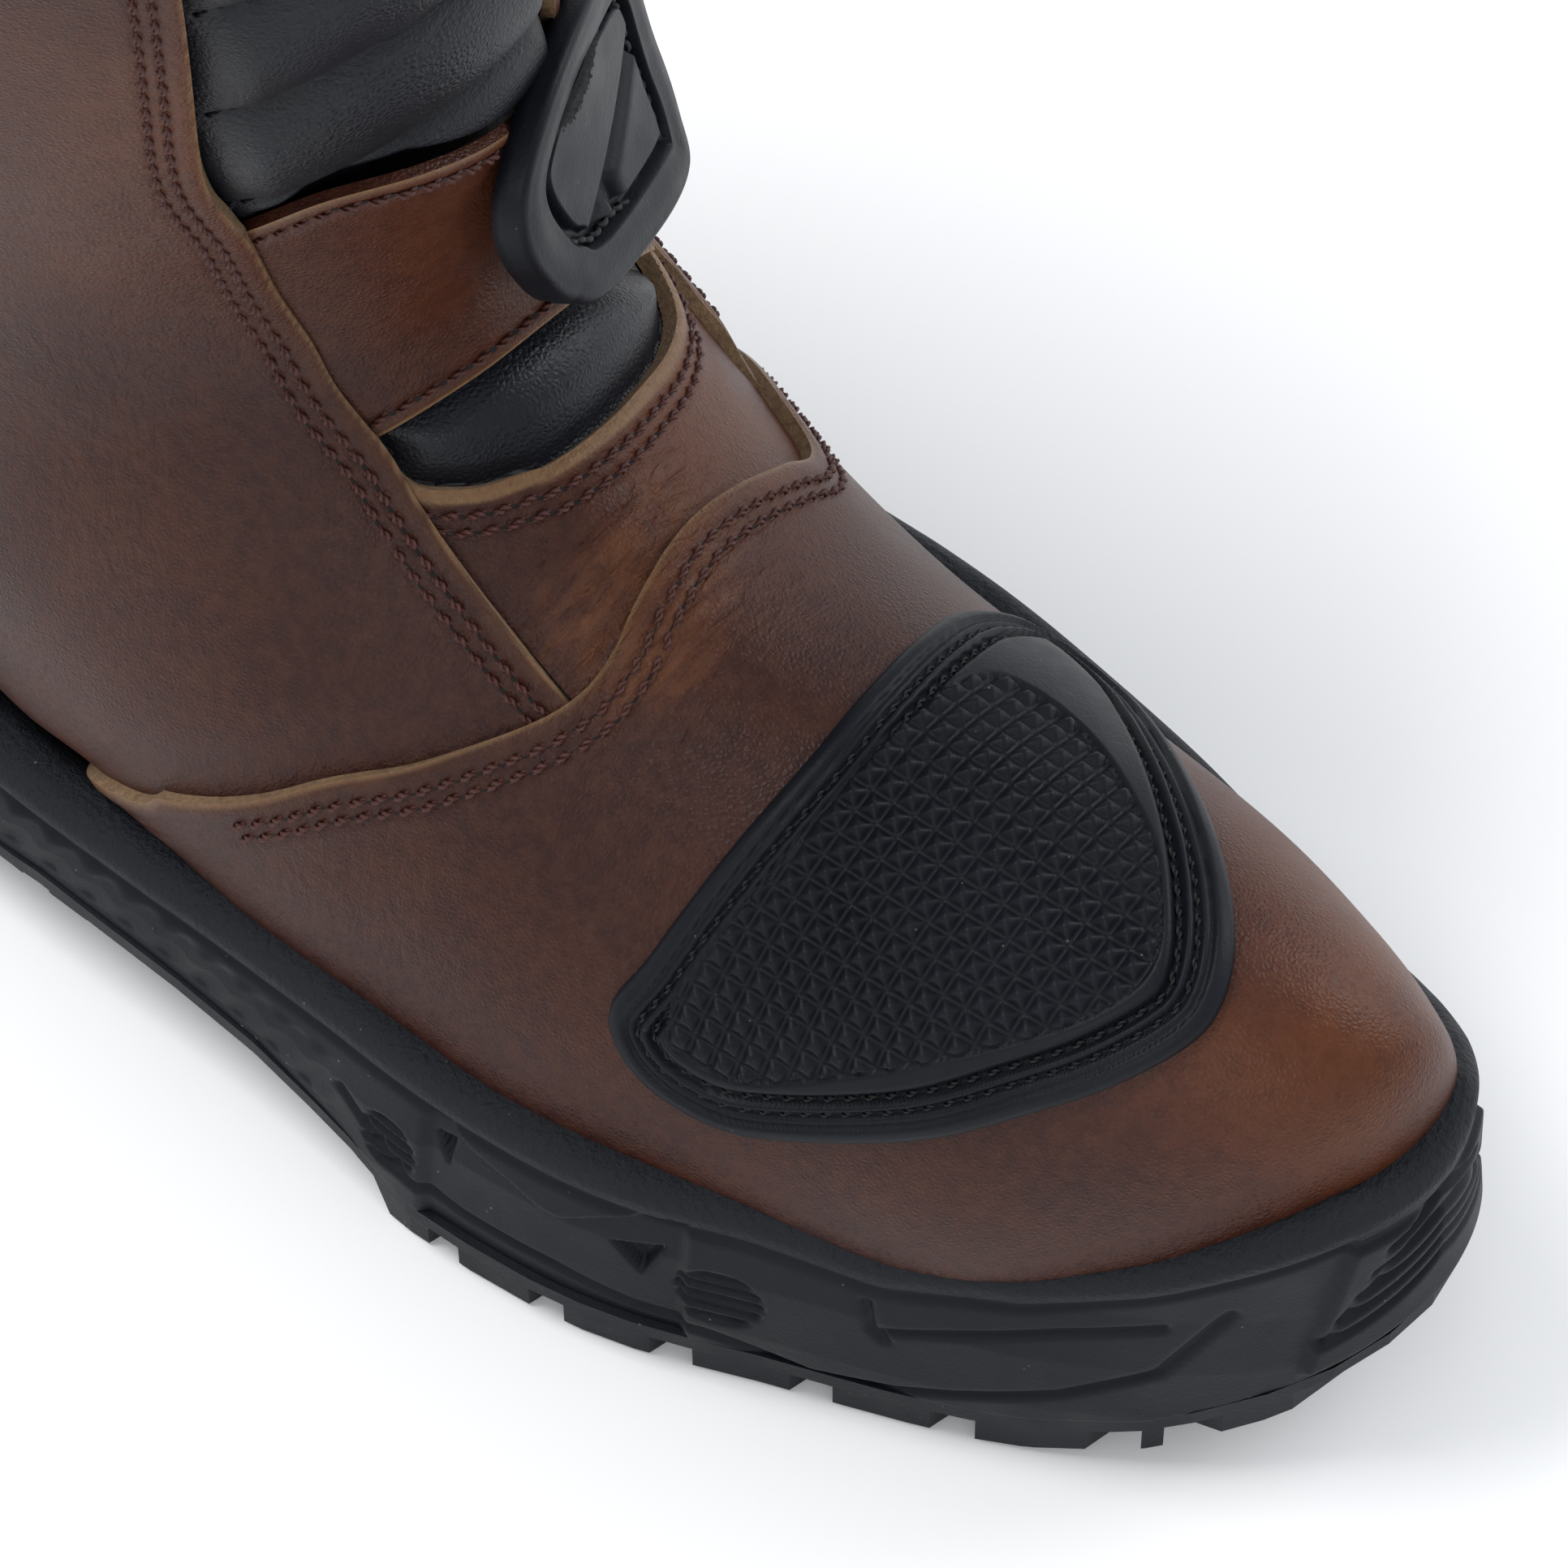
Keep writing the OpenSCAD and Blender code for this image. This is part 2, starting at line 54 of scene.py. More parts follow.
cam_data = bpy.data.cameras.new("camera")
cam = bpy.data.objects.new("camera", cam_data)
scene.collection.objects.link(cam)
scene.camera = cam
AZ, EL = math.radians(-50), math.radians(60)
back = Vector((math.sin(AZ) * math.cos(EL), -math.cos(AZ) * math.cos(EL), math.sin(EL)))
aim = Vector((0.0, -0.15, 0.05))
cam.location = aim + 1.1 * back
cam.rotation_euler = back.to_track_quat("Z", "Y").to_euler()
cam_data.sensor_width = 36
cam_data.lens = 190.6
cam_data.shift_x = -0.0176
cam_data.shift_y = 0.0435
cam_data.clip_start = 0.01


def area_light(name, at, toward, size, power, colour=(1, 1, 1)):
    data = bpy.data.lights.new(name, "AREA")
    data.shape = "RECTANGLE"
    data.size, data.size_y = size
    data.energy = power
    data.color = colour
    light = bpy.data.objects.new(name, data)
    scene.collection.objects.link(light)
    light.location = at
    light.rotation_euler = (Vector(at) - Vector(toward)).to_track_quat("Z", "Y").to_euler()


area_light("key", (-0.30, 0.50, 1.45), (0, -0.1, 0.1), (0.7, 0.5), 14)
area_light("fill", (-1.3, -0.9, 0.9), (0, -0.1, 0.1), (0.9, 0.7), 6)
area_light("rim", (1.2, -0.6, 0.8), (0, -0.1, 0.1), (0.9, 0.9), 10, (0.93, 0.96, 1))
world = bpy.data.worlds.new("world")
scene.world = world
world.use_nodes = True
world.node_tree.nodes["Background"].inputs[0].default_value = (0.95, 0.97, 1, 1)
world.node_tree.nodes["Background"].inputs[1].default_value = 0.66


# ---------------------------------------------------------------- materials
class Nodes:
    """Short names for building a material's node tree."""

    def __init__(self, name, rough, colour=None, **sockets):
        self.mat = bpy.data.materials.new(name)
        self.mat.use_nodes = True
        self.tree = self.mat.node_tree
        self.shader = self.tree.nodes["Principled BSDF"]
        self.coord = self.tree.nodes.new("ShaderNodeTexCoord").outputs["Object"]
        self.shader.inputs["Roughness"].default_value = rough
        if colour:
            self.shader.inputs["Base Color"].default_value = (*colour, 1)
        for key, value in sockets.items():
            self.shader.inputs[key.replace("_", " ")].default_value = value

    def node(self, kind, links=None, **values):
        n = self.tree.nodes.new(kind)
        for key, value in values.items():
            setattr(n, key, value)
        for key, value in (links or {}).items():
            if isinstance(value, bpy.types.NodeSocket):
                self.tree.links.new(value, n.inputs[key])
            else:
                n.inputs[key].default_value = value
        return n

    def stretch(self, scale, angle=0.0):
        return self.node("ShaderNodeMapping", {"Vector": self.coord, "Scale": scale,
                         "Rotation": (0, 0, angle)}).outputs[0]

    def noise(self, scale, detail=3.0, rough=0.55, vector=None, distort=0.0):
        return self.node("ShaderNodeTexNoise", {"Vector": vector or self.coord, "Scale": scale,
                         "Detail": detail, "Roughness": rough, "Distortion": distort}).outputs["Fac"]

    def cells(self, scale, feature="DISTANCE_TO_EDGE"):
        return self.node("ShaderNodeTexVoronoi", {"Vector": self.coord, "Scale": scale},
                         feature=feature).outputs["Distance"]

    def ramp(self, value, low, high, a=0.0, b=1.0):
        return self.node("ShaderNodeMapRange", {"Value": value, "From Min": low, "From Max": high,
                         "To Min": a, "To Max": b}).outputs[0]

    def math(self, kind, a, b=0.0):
        return self.node("ShaderNodeMath", {0: a, 1: b}, operation=kind).outputs[0]

    def mix(self, factor, a, b):
        n = self.node("ShaderNodeMix", {"Factor": factor}, data_type="RGBA")
        for socket, value in ((n.inputs["A"], a), (n.inputs["B"], b)):
            if isinstance(value, bpy.types.NodeSocket):
                self.tree.links.new(value, socket)
            else:
                socket.default_value = (*value, 1)
        return n.outputs["Result"]

    def attribute(self, name):
        return self.node("ShaderNodeAttribute", attribute_name=name).outputs["Fac"]

    def bump(self, *layers):
        normal = None
        for height, distance in layers:
            links = {"Height": height, "Distance": distance, "Strength": 1.0}
            if normal is not None:
                links["Normal"] = normal
            normal = self.node("ShaderNodeBump", links).outputs[0]
        self.tree.links.new(normal, self.shader.inputs["Normal"])

    def set(self, name, value):
        self.tree.links.new(value, self.shader.inputs[name])


def brown_leather():
    m = Nodes("brown_leather", 0.5, Specular_IOR_Level=0.5, IOR=1.3)
    tone = m.attribute("tone")
    wear = m.attribute("wear")
    crease = m.attribute("crease")
    cloud = m.noise(26, 5, 0.6, distort=0.4)
    fine = m.noise(420, 4, 0.7)
    veins = m.noise(60, 6, 0.7, m.stretch((1.0, 4.0, 2.2), 0.5), 1.2)
    blend = m.math("ADD", m.math("MULTIPLY", cloud, 0.75), m.math("MULTIPLY", tone, 0.75))
    base = m.mix(m.ramp(blend, 0.34, 0.72), (0.031, 0.0086, 0.0058), (0.064, 0.0170, 0.0072))
    base = m.mix(m.ramp(blend, 0.62, 1.1), base, (0.115, 0.036, 0.0105))
    base = m.mix(m.ramp(m.math("MULTIPLY", veins, crease), 0.3, 0.75), base, (0.15, 0.055, 0.02))
    base = m.mix(m.ramp(fine, 0.42, 0.72, 0, 0.28), base, (0.095, 0.036, 0.018))
    base = m.mix(m.ramp(fine, 0.5, 0.28, 0, 0.3), base, (0.016, 0.008, 0.007))
    base = m.mix(m.math("MULTIPLY", wear, m.ramp(m.noise(150, 4, 0.7), 0.3, 0.75, 0.35, 1.0)), base,
                 (0.17, 0.085, 0.042))
    suede = m.math("MULTIPLY", m.attribute("raw"), m.ramp(m.noise(700, 4, 0.7), 0.25, 0.6, 0.55, 1.0))
    base = m.mix(suede, base, (0.17, 0.095, 0.046))
    m.set("Base Color", base)
    m.set("Roughness", m.ramp(m.math("ADD", m.noise(18, 3), m.math("MULTIPLY", fine, 0.35)), 0.4, 0.95,
                              0.30, 0.52))
    wrinkle = m.math("MULTIPLY", m.noise(150, 4, 0.6, m.stretch((1, 3.6, 1.6), 0.35), 0.8), crease)
    m.bump((wrinkle, 0.0011), (m.cells(1250), 0.00016), (m.noise(900, 3, 0.7), 0.00012))
    return m.mat


def black_leather():
    m = Nodes("black_leather", 0.4, Specular_IOR_Level=0.5, IOR=1.32)
    m.set("Base Color", m.mix(m.ramp(m.noise(70, 4), 0.3, 0.7), (0.0045, 0.005, 0.0075),
                              (0.0085, 0.0095, 0.0135)))
    m.set("Roughness", m.ramp(m.noise(40, 3), 0.3, 0.7, 0.34, 0.47))
    crease = m.math("MULTIPLY", m.noise(260, 4, 0.6, m.stretch((1, 1, 2.5)), 1.0), m.attribute("crease"))
    m.bump((crease, 0.0008), (m.cells(1150), 0.00017), (m.noise(2000, 2), 0.00005))
    return m.mat


def rubber(name, dark, light, rough, crinkle=0.0, dust=0.35):
    m = Nodes(name, rough, Specular_IOR_Level=0.5, IOR=1.24)
    specks = m.ramp(m.cells(420, "F1"), 0.10, 0.04)
    gate = m.ramp(m.noise(190, 2), 0.56, 0.62)
    base = m.mix(m.ramp(m.noise(45, 5, 0.6), 0.3, 0.7), dark, light)
    base = m.mix(m.math("MULTIPLY", m.math("MULTIPLY", specks, gate), dust), base, (0.30, 0.29, 0.27))
    lip = m.attribute("lip")
    base = m.mix(m.math("MULTIPLY", lip, 0.12), base, (0.06, 0.064, 0.072))
    m.set("Base Color", base)
    m.set("Roughness", m.ramp(m.noise(90, 4), 0.3, 0.7, rough - 0.06, rough + 0.08))
    layers = [(m.noise(1500, 3, 0.6), 0.00007), (m.noise(220, 2), 0.00006)]
    if crinkle:
        layers.insert(0, (m.math("MULTIPLY", m.noise(850, 4, 0.65), lip), crinkle))
    m.bump(*layers)
    return m.mat


def plain(name, colour, rough, scale=900.0, depth=0.0002, other=None, metal=0.0):
    m = Nodes(name, rough, Metallic=metal)
    m.set("Base Color", m.mix(m.ramp(m.noise(scale * 0.6, 4, 0.7), 0.3, 0.7), colour,
                              other or tuple(0.6 * c for c in colour)))
    m.bump((m.noise(scale, 4, 0.7), depth))
    return m.mat


def woven(name, colour, pitch, depth):
    m = Nodes(name, 0.85)
    m.shader.inputs["Sheen Weight"].default_value = 0.25
    scale = 2 * math.pi / pitch
    xyz = m.node("ShaderNodeSeparateXYZ", {"Vector": m.coord})
    around = m.math("ADD", xyz.outputs[0], xyz.outputs[1])
    knit = m.math("MULTIPLY", m.math("SINE", m.math("MULTIPLY", around, scale)),
                  m.math("SINE", m.math("MULTIPLY", xyz.outputs[2], scale)))
    # darker where the knit is low: painted shade in the hollows between loops
    m.set("Base Color", m.mix(m.ramp(knit, -0.6, 0.8), tuple(0.4 * c for c in colour), colour))
    m.bump((knit, depth))
    return m.mat


LEATHER = brown_leather()
RAW = plain("raw_leather_edge", (0.30, 0.19, 0.10), 0.9, 1600, 0.0004, (0.14, 0.08, 0.042))
BLACK = black_leather()
SOLE = rubber("sole_rubber", (0.0050, 0.0058, 0.0085), (0.0082, 0.0096, 0.0135), 0.5, 0.0009, 0.5)
TRIM = rubber("trim_rubber", (0.0050, 0.0058, 0.0085), (0.0082, 0.0096, 0.0135), 0.44)
THREAD = plain("brown_thread", (0.090, 0.022, 0.014), 0.55, 2600, 0.0002, (0.040, 0.010, 0.007))
DARK_THREAD = plain("black_thread", (0.008, 0.008, 0.010), 0.65, 2600, 0.0002)
# near-black discs at the needle holes: painted shade inside the holes
HOLE_SHADE = plain("needle_hole_painted_shade", (0.006, 0.003, 0.002), 0.9)
LINING = woven("lining_knit", (0.030, 0.031, 0.035), 0.0014, 0.0003)
HOOK = plain("hook_and_loop", (0.010, 0.010, 0.011), 0.95, 3000, 0.0009)
FOAM = woven("footbed_cloth", (0.036, 0.037, 0.042), 0.0011, 0.0002)
BOARD = plain("fibre_board", (0.42, 0.33, 0.21), 0.85, 500, 0.0002)
STIFF = plain("stiffener_sheet", (0.46, 0.43, 0.36), 0.7, 800, 0.0001)
STEEL = plain("shank_steel", (0.45, 0.46, 0.48), 0.32, 300, 0.00004, (0.38, 0.39, 0.42), 1.0)


floor_look = Nodes("floor_paint", 0.95, Specular_IOR_Level=0.0)
cloud = floor_look.ramp(floor_look.noise(3, 2), 0.3, 0.7)
floor_look.set("Base Color", floor_look.mix(cloud, (0.97, 0.97, 0.97), (0.985, 0.985, 0.985)))
floor_mesh = bpy.data.meshes.new("floor")
floor_mesh.from_pydata([(-6, -6, 0), (6, -6, 0), (6, 6, 0), (-6, 6, 0)], [], [(0, 1, 2, 3)])
floor_mesh.materials.append(floor_look.mat)
floor = bpy.data.objects.new("floor", floor_mesh)
floor.location.z = -0.0006
scene.collection.objects.link(floor)


# ---------------------------------------------------------------- the boot's surface, as in the CAD
STATIONS = np.array([
    [-241, 60, -241, 60, 14, 0, 0.64, 2, 2.4, 0],
    [-238.5, 73, -238.5, 46, 13, 11.5, 0.68, 2, 2.6, 0],
    [-231, 81, -231, 38, 10, 20, 0.73, 2, 3, 0],
    [-218, 86, -218, 30, 7, 28.5, 0.76, 2, 3.4, 0],
    [-199, 88, -199, 27, 4, 37, 0.77, 1.9, 4, 0],
    [-171, 90, -171, 25, 1, 43.5, 0.79, 1.8, 4.5, 0],
    [-140, 94, -140, 24, -2, 48, 0.79, 1.75, 4.5, 0],
    [-114, 102, -112, 24, -1, 49.5, 0.79, 1.75, 4.5, 1],
    [-98, 114, -80, 26, -1, 49.5, 0.72, 1.85, 4, 3],
    [-92, 127, -30, 28, -1, 48, 0.62, 1.95, 3.5, 4],
    [-92, 140, 20, 32, 0, 46, 0.55, 2, 3, 4],
    [-93, 154, 43, 58, 1, 48, 0.52, 2, 2.6, 3],
    [-95, 170, 46, 100, 1, 51, 0.5, 2, 2.3, 2],
    [-96, 190, 42, 150, 1, 55, 0.5, 2, 2.2, 1],
    [-96, 225, 42, 205, 0, 58, 0.5, 2, 2.1, 0],
    [-95, 268, 46, 262, 0, 60, 0.5, 2, 2, 0],
    [-94, 315, 50, 315, 0, 62, 0.5, 2, 2, 0]], float)
before = STATIONS[1][[2, 3, 0, 1, 4, 5, 6, 7, 8, 9]].copy()
before[5] *= -1
ROWS = np.vstack([before, STATIONS, 2 * STATIONS[-1] - STATIONS[-2]])


def spline(a, b, c, d, t):
    return 0.5 * (2 * b + (c - a) * t + (2 * a - 5 * b + 4 * c - d) * t ** 2
                  + (3 * b - a - 3 * c + d) * t ** 3)


def surface(st):
    """Points in millimetres for an array of [station, angle in degrees]."""
    s = np.clip(st[..., 0], 0, 16)
    i = np.minimum(np.floor(s).astype(int), 15)
    f = (s - i)[..., None]
    q = spline(ROWS[i], ROWS[i + 1], ROWS[i + 2], ROWS[i + 3], f)
    angle = np.radians(st[..., 1])
    c, sn = np.cos(angle), np.sin(angle)
    e = 2 / np.where(c > 0, q[..., 7], q[..., 8])
    ca = np.sign(c) * np.abs(c) ** e
    sa = np.sign(sn) * np.abs(sn) ** e
    k = q[..., 6]
    t = np.where(c > 0, k * (1 - ca), k - (1 - k) * ca)
    x = q[..., 4] + q[..., 5] * sa + q[..., 9] * np.maximum(c, 0)
    return np.stack([x, q[..., 0] + (q[..., 2] - q[..., 0]) * t,
                     q[..., 1] + (q[..., 3] - q[..., 1]) * t], -1)


def tangents(st):
    ds, da = np.array([0.01, 0]), np.array([0, 0.5])
    return (surface(st + ds) - surface(st - ds)) / 0.02, surface(st + da) - surface(st - da)


def normals(st):
    along, around = tangents(st)
    n = np.cross(around, along)
    return n / np.maximum(np.linalg.norm(n, axis=-1, keepdims=True), 1e-9)


def lifted(st, h):
    st = np.asarray(st, float)
    return surface(st) + np.asarray(h, float)[..., None] * normals(st)


def sample(at, where, points):
    """The rows of points, known at where, read off at other places."""
    return np.stack([np.interp(at, where, column) for column in points.T], -1)


def path(points, step=1.5, smooth=True):
    """A smooth line through [station, angle] points, with a point about every step millimetres."""
    c = np.array(points, float)
    n = len(c)
    if smooth:
        out = []
        for i in range(n - 1):
            a, b, d, e = (c[min(max(i + k, 0), n - 1)] for k in (-1, 0, 1, 2))
            t = np.linspace(0, 1, 16, endpoint=False)[:, None]
            out.append(spline(a, b, d, e, t))
        c = np.vstack(out + [c[-1:]])
    length = np.r_[0, np.cumsum(np.linalg.norm(np.diff(surface(c), axis=0), axis=1))]
    count = max(4, int(round(length[-1] / step)))
    at = np.linspace(0, length[-1], count + 1)
    return sample(at, length, c)


def shift(line, distance):
    """The same line moved sideways over the surface, to its left as seen from outside."""
    step = np.gradient(line, axis=0)
    along, around = tangents(line)
    direction = step[:, :1] * along + step[:, 1:] * around
    direction /= np.linalg.norm(direction, axis=1, keepdims=True)
    side = np.cross(normals(line), direction)
    aa, bb, ab = (along ** 2).sum(1), (around ** 2).sum(1), (along * around).sum(1)
    ca, cb = (side * along).sum(1), (side * around).sum(1)
    det = aa * bb - ab ** 2
    move = np.stack([(ca * bb - cb * ab) / det, (cb * aa - ca * ab) / det], -1)
    return line + distance * move


def near(points, line, block=4000):
    """Distance in millimetres from each point to a line of points."""
    flat = points.reshape(-1, 3)
    out = np.empty(len(flat))
    for i in range(0, len(flat), block):
        gap = flat[i:i + block, None, :] - line[None]
        out[i:i + block] = np.sqrt((gap ** 2).sum(-1).min(1))
    return out.reshape(points.shape[:-1])


def ease(x):
    x = np.clip(x, 0, 1)
    return x * x * (3 - 2 * x)


def bell(x, width):
    return np.exp(-(x / width) ** 2)


ARCH = 0.42          # how high a stitch stands over the leather, mm


# ---------------------------------------------------------------- making meshes
def make(name, points, faces, materials, body, face_mats=None, attributes=None, smooth=True):
    mesh = bpy.data.meshes.new(name)
    mesh.from_pydata((np.asarray(points) * MM).tolist(), [], [list(map(int, f)) for f in faces])
    for material in materials:
        mesh.materials.append(material)
    if face_mats is not None:
        mesh.polygons.foreach_set("material_index", np.asarray(face_mats, np.int32))
    mesh.polygons.foreach_set("use_smooth", [smooth] * len(mesh.polygons))
    for key, values in (attributes or {}).items():
        layer = mesh.attributes.new(key, "FLOAT", "POINT")
        layer.data.foreach_set("value", np.asarray(values, np.float32).ravel())
    mesh.update()
    obj = bpy.data.objects.new(name, mesh)
    scene.collection.objects.link(obj)
    if body:
        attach(obj, body)
    return obj


def quads(rows, cols, start=0, wrap=False, flip=False):
    i, j = np.meshgrid(np.arange(rows - 1), np.arange(cols if wrap else cols - 1), indexing="ij")
    a = start + i * cols + j
    b = start + i * cols + (j + 1) % cols
    f = np.stack([a, b, b + cols, a + cols], -1).reshape(-1, 4)
    return f[:, ::-1] if flip else f


def panel(name, grid, lift, thick, materials, body, attributes=None):
    """A sheet with a cut edge. grid is rows by columns of [station, angle]; lift is of its outer face."""
    rows, cols = lift.shape
    top = lifted(grid, lift)
    low = lifted(grid, lift - thick)
    down, along = grid[1, 0] - grid[0, 0], grid[0, 1] - grid[0, 0]
    turned = down[0] * along[1] > down[1] * along[0]
    ring = np.r_[np.arange(cols), np.arange(1, rows) * cols + cols - 1,
                 (rows - 1) * cols + np.arange(cols - 2, -1, -1), np.arange(rows - 2, 0, -1) * cols]
    n = rows * cols
    top, low = top.reshape(-1, 3), low.reshape(-1, 3)
    rim_top, rim_low = top[ring], low[ring]
    points = [top, low, rim_top, 0.5 * (rim_top + rim_low), rim_low]
    faces = [quads(rows, cols, 0, flip=not turned), quads(rows, cols, n, flip=turned)]
    band = quads(3, len(ring), 2 * n, wrap=True, flip=not turned)
    mats = [0] * (len(faces[0]) + len(faces[1])) + [min(1, len(materials) - 1)] * len(band)
    count = 2 * n + 3 * len(ring)
    filled = {}
    for key, values in (attributes or {}).items():
        v = np.zeros(count)
        v[:n] = values.ravel()
        filled[key] = v
    return make(name, np.vstack(points), np.vstack(faces + [band]), materials, body, mats, filled)


def stitches(name, line, lift, body, material=None, pitch=3.4, thread=0.32, closed=False,
             paint_hole_shade=True, sink=0.5):
    """A row of two-ply stitches along a line of [station, angle] points."""
    if closed:
        line = np.vstack([line, line[:1]])
    length = np.r_[0, np.cumsum(np.linalg.norm(np.diff(surface(line), axis=0), axis=1))]
    count = int(length[-1] / pitch)
    start = (np.arange(count) + 0.5) * length[-1] / count
    steps, sides = 9, 5
    t = np.linspace(-0.5, 0.5, steps)
    at = start[:, None] + t * pitch * 0.94
    st = sample(at, length, line)
    heights = lift(surface(st)) if callable(lift) else lift
    arch = (1 - (2 * np.abs(t)) ** 3) * (ARCH + sink) - sink
    centre = lifted(st, heights + arch)
    up = normals(st)
    go = np.gradient(centre, axis=1)
    go /= np.linalg.norm(go, axis=-1, keepdims=True)
    side = np.cross(up, go)
    slant = 0.28 * (rng.random((count, 1)) * 0.5 + 0.75) * np.sin(t * math.pi)
    centre = centre + slant[..., None] * side
    points, faces, base = [], [], 0
    for ply in (0, 1):
        turn = t * 2 * math.pi * 1.3 + ply * math.pi
        mid = centre + thread * 0.95 * (np.cos(turn)[None, :, None] * side + np.sin(turn)[None, :, None] * up)
        size = thread * (1 - 0.45 * (2 * np.abs(t)) ** 4)
        for k in range(sides):
            a = 2 * math.pi * k / sides
            points.append(mid + size[None, :, None] * (math.cos(a) * side + math.sin(a) * up))
    cloud = np.stack(points, 2)  # stitch, step, ply and side, xyz
    cloud = cloud.reshape(count, steps, 2, sides, 3)
    cloud = cloud.transpose(0, 2, 1, 3, 4).reshape(-1, 3)
    one = quads(steps, sides, 0, wrap=True)
    tubes = np.arange(count * 2)[:, None, None] * steps * sides
    faces = (one[None] + tubes).reshape(-1, 4)
    obj = make(name, cloud, faces, [material or THREAD], body)
    # a flat dark disc at each needle hole, painted shade of the hole's recess
    if paint_hole_shade:
        ends = np.interp(np.r_[start - pitch / 2, start[-1] + pitch / 2], length, np.arange(len(line)))
        st = sample(ends, np.arange(len(line)), line)
        h = (lift(surface(st)) if callable(lift) else lift) + 0.06
        c, up = lifted(st, h + np.zeros(len(st))), normals(st)
        along = np.gradient(c, axis=0)
        along /= np.linalg.norm(along, axis=1, keepdims=True)
        side = np.cross(up, along)
        k = np.arange(8) * math.pi / 4
        disc = c[:, None] + 0.62 * (np.cos(k)[:, None] * along[:, None]
                                    + 0.75 * np.sin(k)[:, None] * side[:, None])
        rim = np.arange(len(c))[:, None] * 8 + np.arange(8)
        make(name + "_painted_hole_shade", disc.reshape(-1, 3), rim, [HOLE_SHADE], body, smooth=False)
    return obj


# ---------------------------------------------------------------- seams
CAP = path([(8.5, -140), (8.35, -100), (7.6, -66), (7, -48), (6.61, -34), (6.45, -25), (6.43, -17), (6.49, -9),
            (6.55, 2), (6.6, 13), (6.62, 25), (6.64, 37), (6.75, 50), (7.5, 66), (8.35, 100), (8.5, 140)], 1.6)
OUTER = [(6.3, -27), (6.48, -26.7), (7.12, -25.3), (7.89, -24.3), (8.38, -24.2), (9.48, -28), (10.6, -32),
         (11.68, -34.8), (12.67, -38.4), (13.86, -36), (15, -34.5), (16, -34)]
INNER = [(7.2, 62), (7.6, 57.6), (7.9, 54.6), (8.27, 51), (9, 45), (10, 34), (11, 25), (12, 20), (13, 18),
         (14.5, 18), (16, 18)]
THROAT = path([(8.6, -24.5), (8.25, -24.4), (7.92, -23.4), (7.7, -19.5), (7.53, -14.9), (7.38, -8), (7.31, -3.7),
               (7.27, 5), (7.28, 14), (7.35, 23), (7.44, 30.7), (7.56, 37), (7.72, 42.8), (7.96, 47.4),
               (8.27, 51), (8.7, 49.5)], 1.2)
OUTER_EDGE = path(OUTER, 1.4)
INNER_EDGE = path(INNER, 1.4)
FIRST_ROW, SECOND_ROW = 3.5, 5.7


def seam_shape(distance, rows, edge=0.7, reach=11.0):
    """How a stitched edge stands up and is pulled in along its stitch rows."""
    out = edge * ease(1 - distance / reach) - 0.45 * bell(distance, 0.7)
    for row in rows:
        out = out - 0.38 * bell(distance - row, 0.75)
    return out


def spread(columns, dense, fine, wide):
    """Fractions from 0 to 1 with finer steps at the start."""
    steps = np.r_[np.full(dense, fine), np.full(columns, wide)]
    return np.r_[0, np.cumsum(steps)] / steps.sum()


def tone_of(points):
    """Broad patches of lighter, redder leather, as worn and pulled leather has."""
    spots = [((-8, -226, 80), 24, 0.4), ((20, -222, 70), 24, 0.5), ((25, -112, 92), 26, 0.55),
             ((-32, -92, 190), 26, 0.5), ((-38, -60, 158), 26, 0.35), ((5, -93, 140), 22, 0.3),
             ((-25, -165, 78), 18, 0.25), ((50, -70, 110), 40, 0.3), ((0, 45, 150), 60, 0.25),
             ((45, -205, 60), 25, 0.4), ((-45, -30, 230), 50, 0.3), ((50, 0, 240), 60, 0.3)]
    out = np.zeros(points.shape[:-1])
    for centre, radius, amount in spots:
        gap = np.linalg.norm(points - np.array(centre), axis=-1)
        out += amount * np.exp(-(gap / radius) ** 2)
    return np.clip(out, 0, 1)


def crease_of(points):
    """Where the leather folds: across the instep and round the ankle."""
    spots = [((-12, -128, 94), 17, 0.9), ((10, -122, 98), 16, 0.7), ((-46, -110, 60), 20, 0.5),
             ((-42, -70, 110), 26, 0.6), ((44, -70, 100), 26, 0.6), ((0, 44, 120), 30, 0.6),
             ((-40, -10, 130), 30, 0.45), ((42, -10, 130), 30, 0.45), ((46, -120, 60), 20, 0.5)]
    out = np.zeros(points.shape[:-1])
    for centre, radius, amount in spots:
        gap = np.linalg.norm(points - np.array(centre), axis=-1)
        out += amount * np.exp(-(gap / radius) ** 2)
    return np.clip(out, 0.05, 1)


def leather_marks(points, *edges, suede=0.5):
    wear = np.zeros(points.shape[:-1])
    for distance in edges:
        wear = np.maximum(wear, 0.3 * bell(distance, 1.6))
    raw = np.zeros(points.shape[:-1])
    for distance in edges:
        raw = np.maximum(raw, ease((suede - distance) / 0.6 + 0.5))
    return {"wear": wear, "tone": tone_of(points), "crease": crease_of(points), "raw": raw}


CAP_3D, THROAT_3D = surface(CAP), surface(THROAT)
OUTER_3D, INNER_3D = surface(OUTER_EDGE), surface(INNER_EDGE)


def cap_lift(points):
    d = near(points, CAP_3D)
    return 0.15 + seam_shape(d, (FIRST_ROW, SECOND_ROW), 1.0, 12)


def vamp_lift(points):
    d = near(points, THROAT_3D)
    return -1.2 + seam_shape(d, (FIRST_ROW, SECOND_ROW), 1.3, 9)


def quarter_lift(points, edge):
    under = ease(near(points, CAP_3D) / 12)
    return -1.0 + 1.3 * under + seam_shape(near(points, edge), (FIRST_ROW, SECOND_ROW), 0.7, 10)


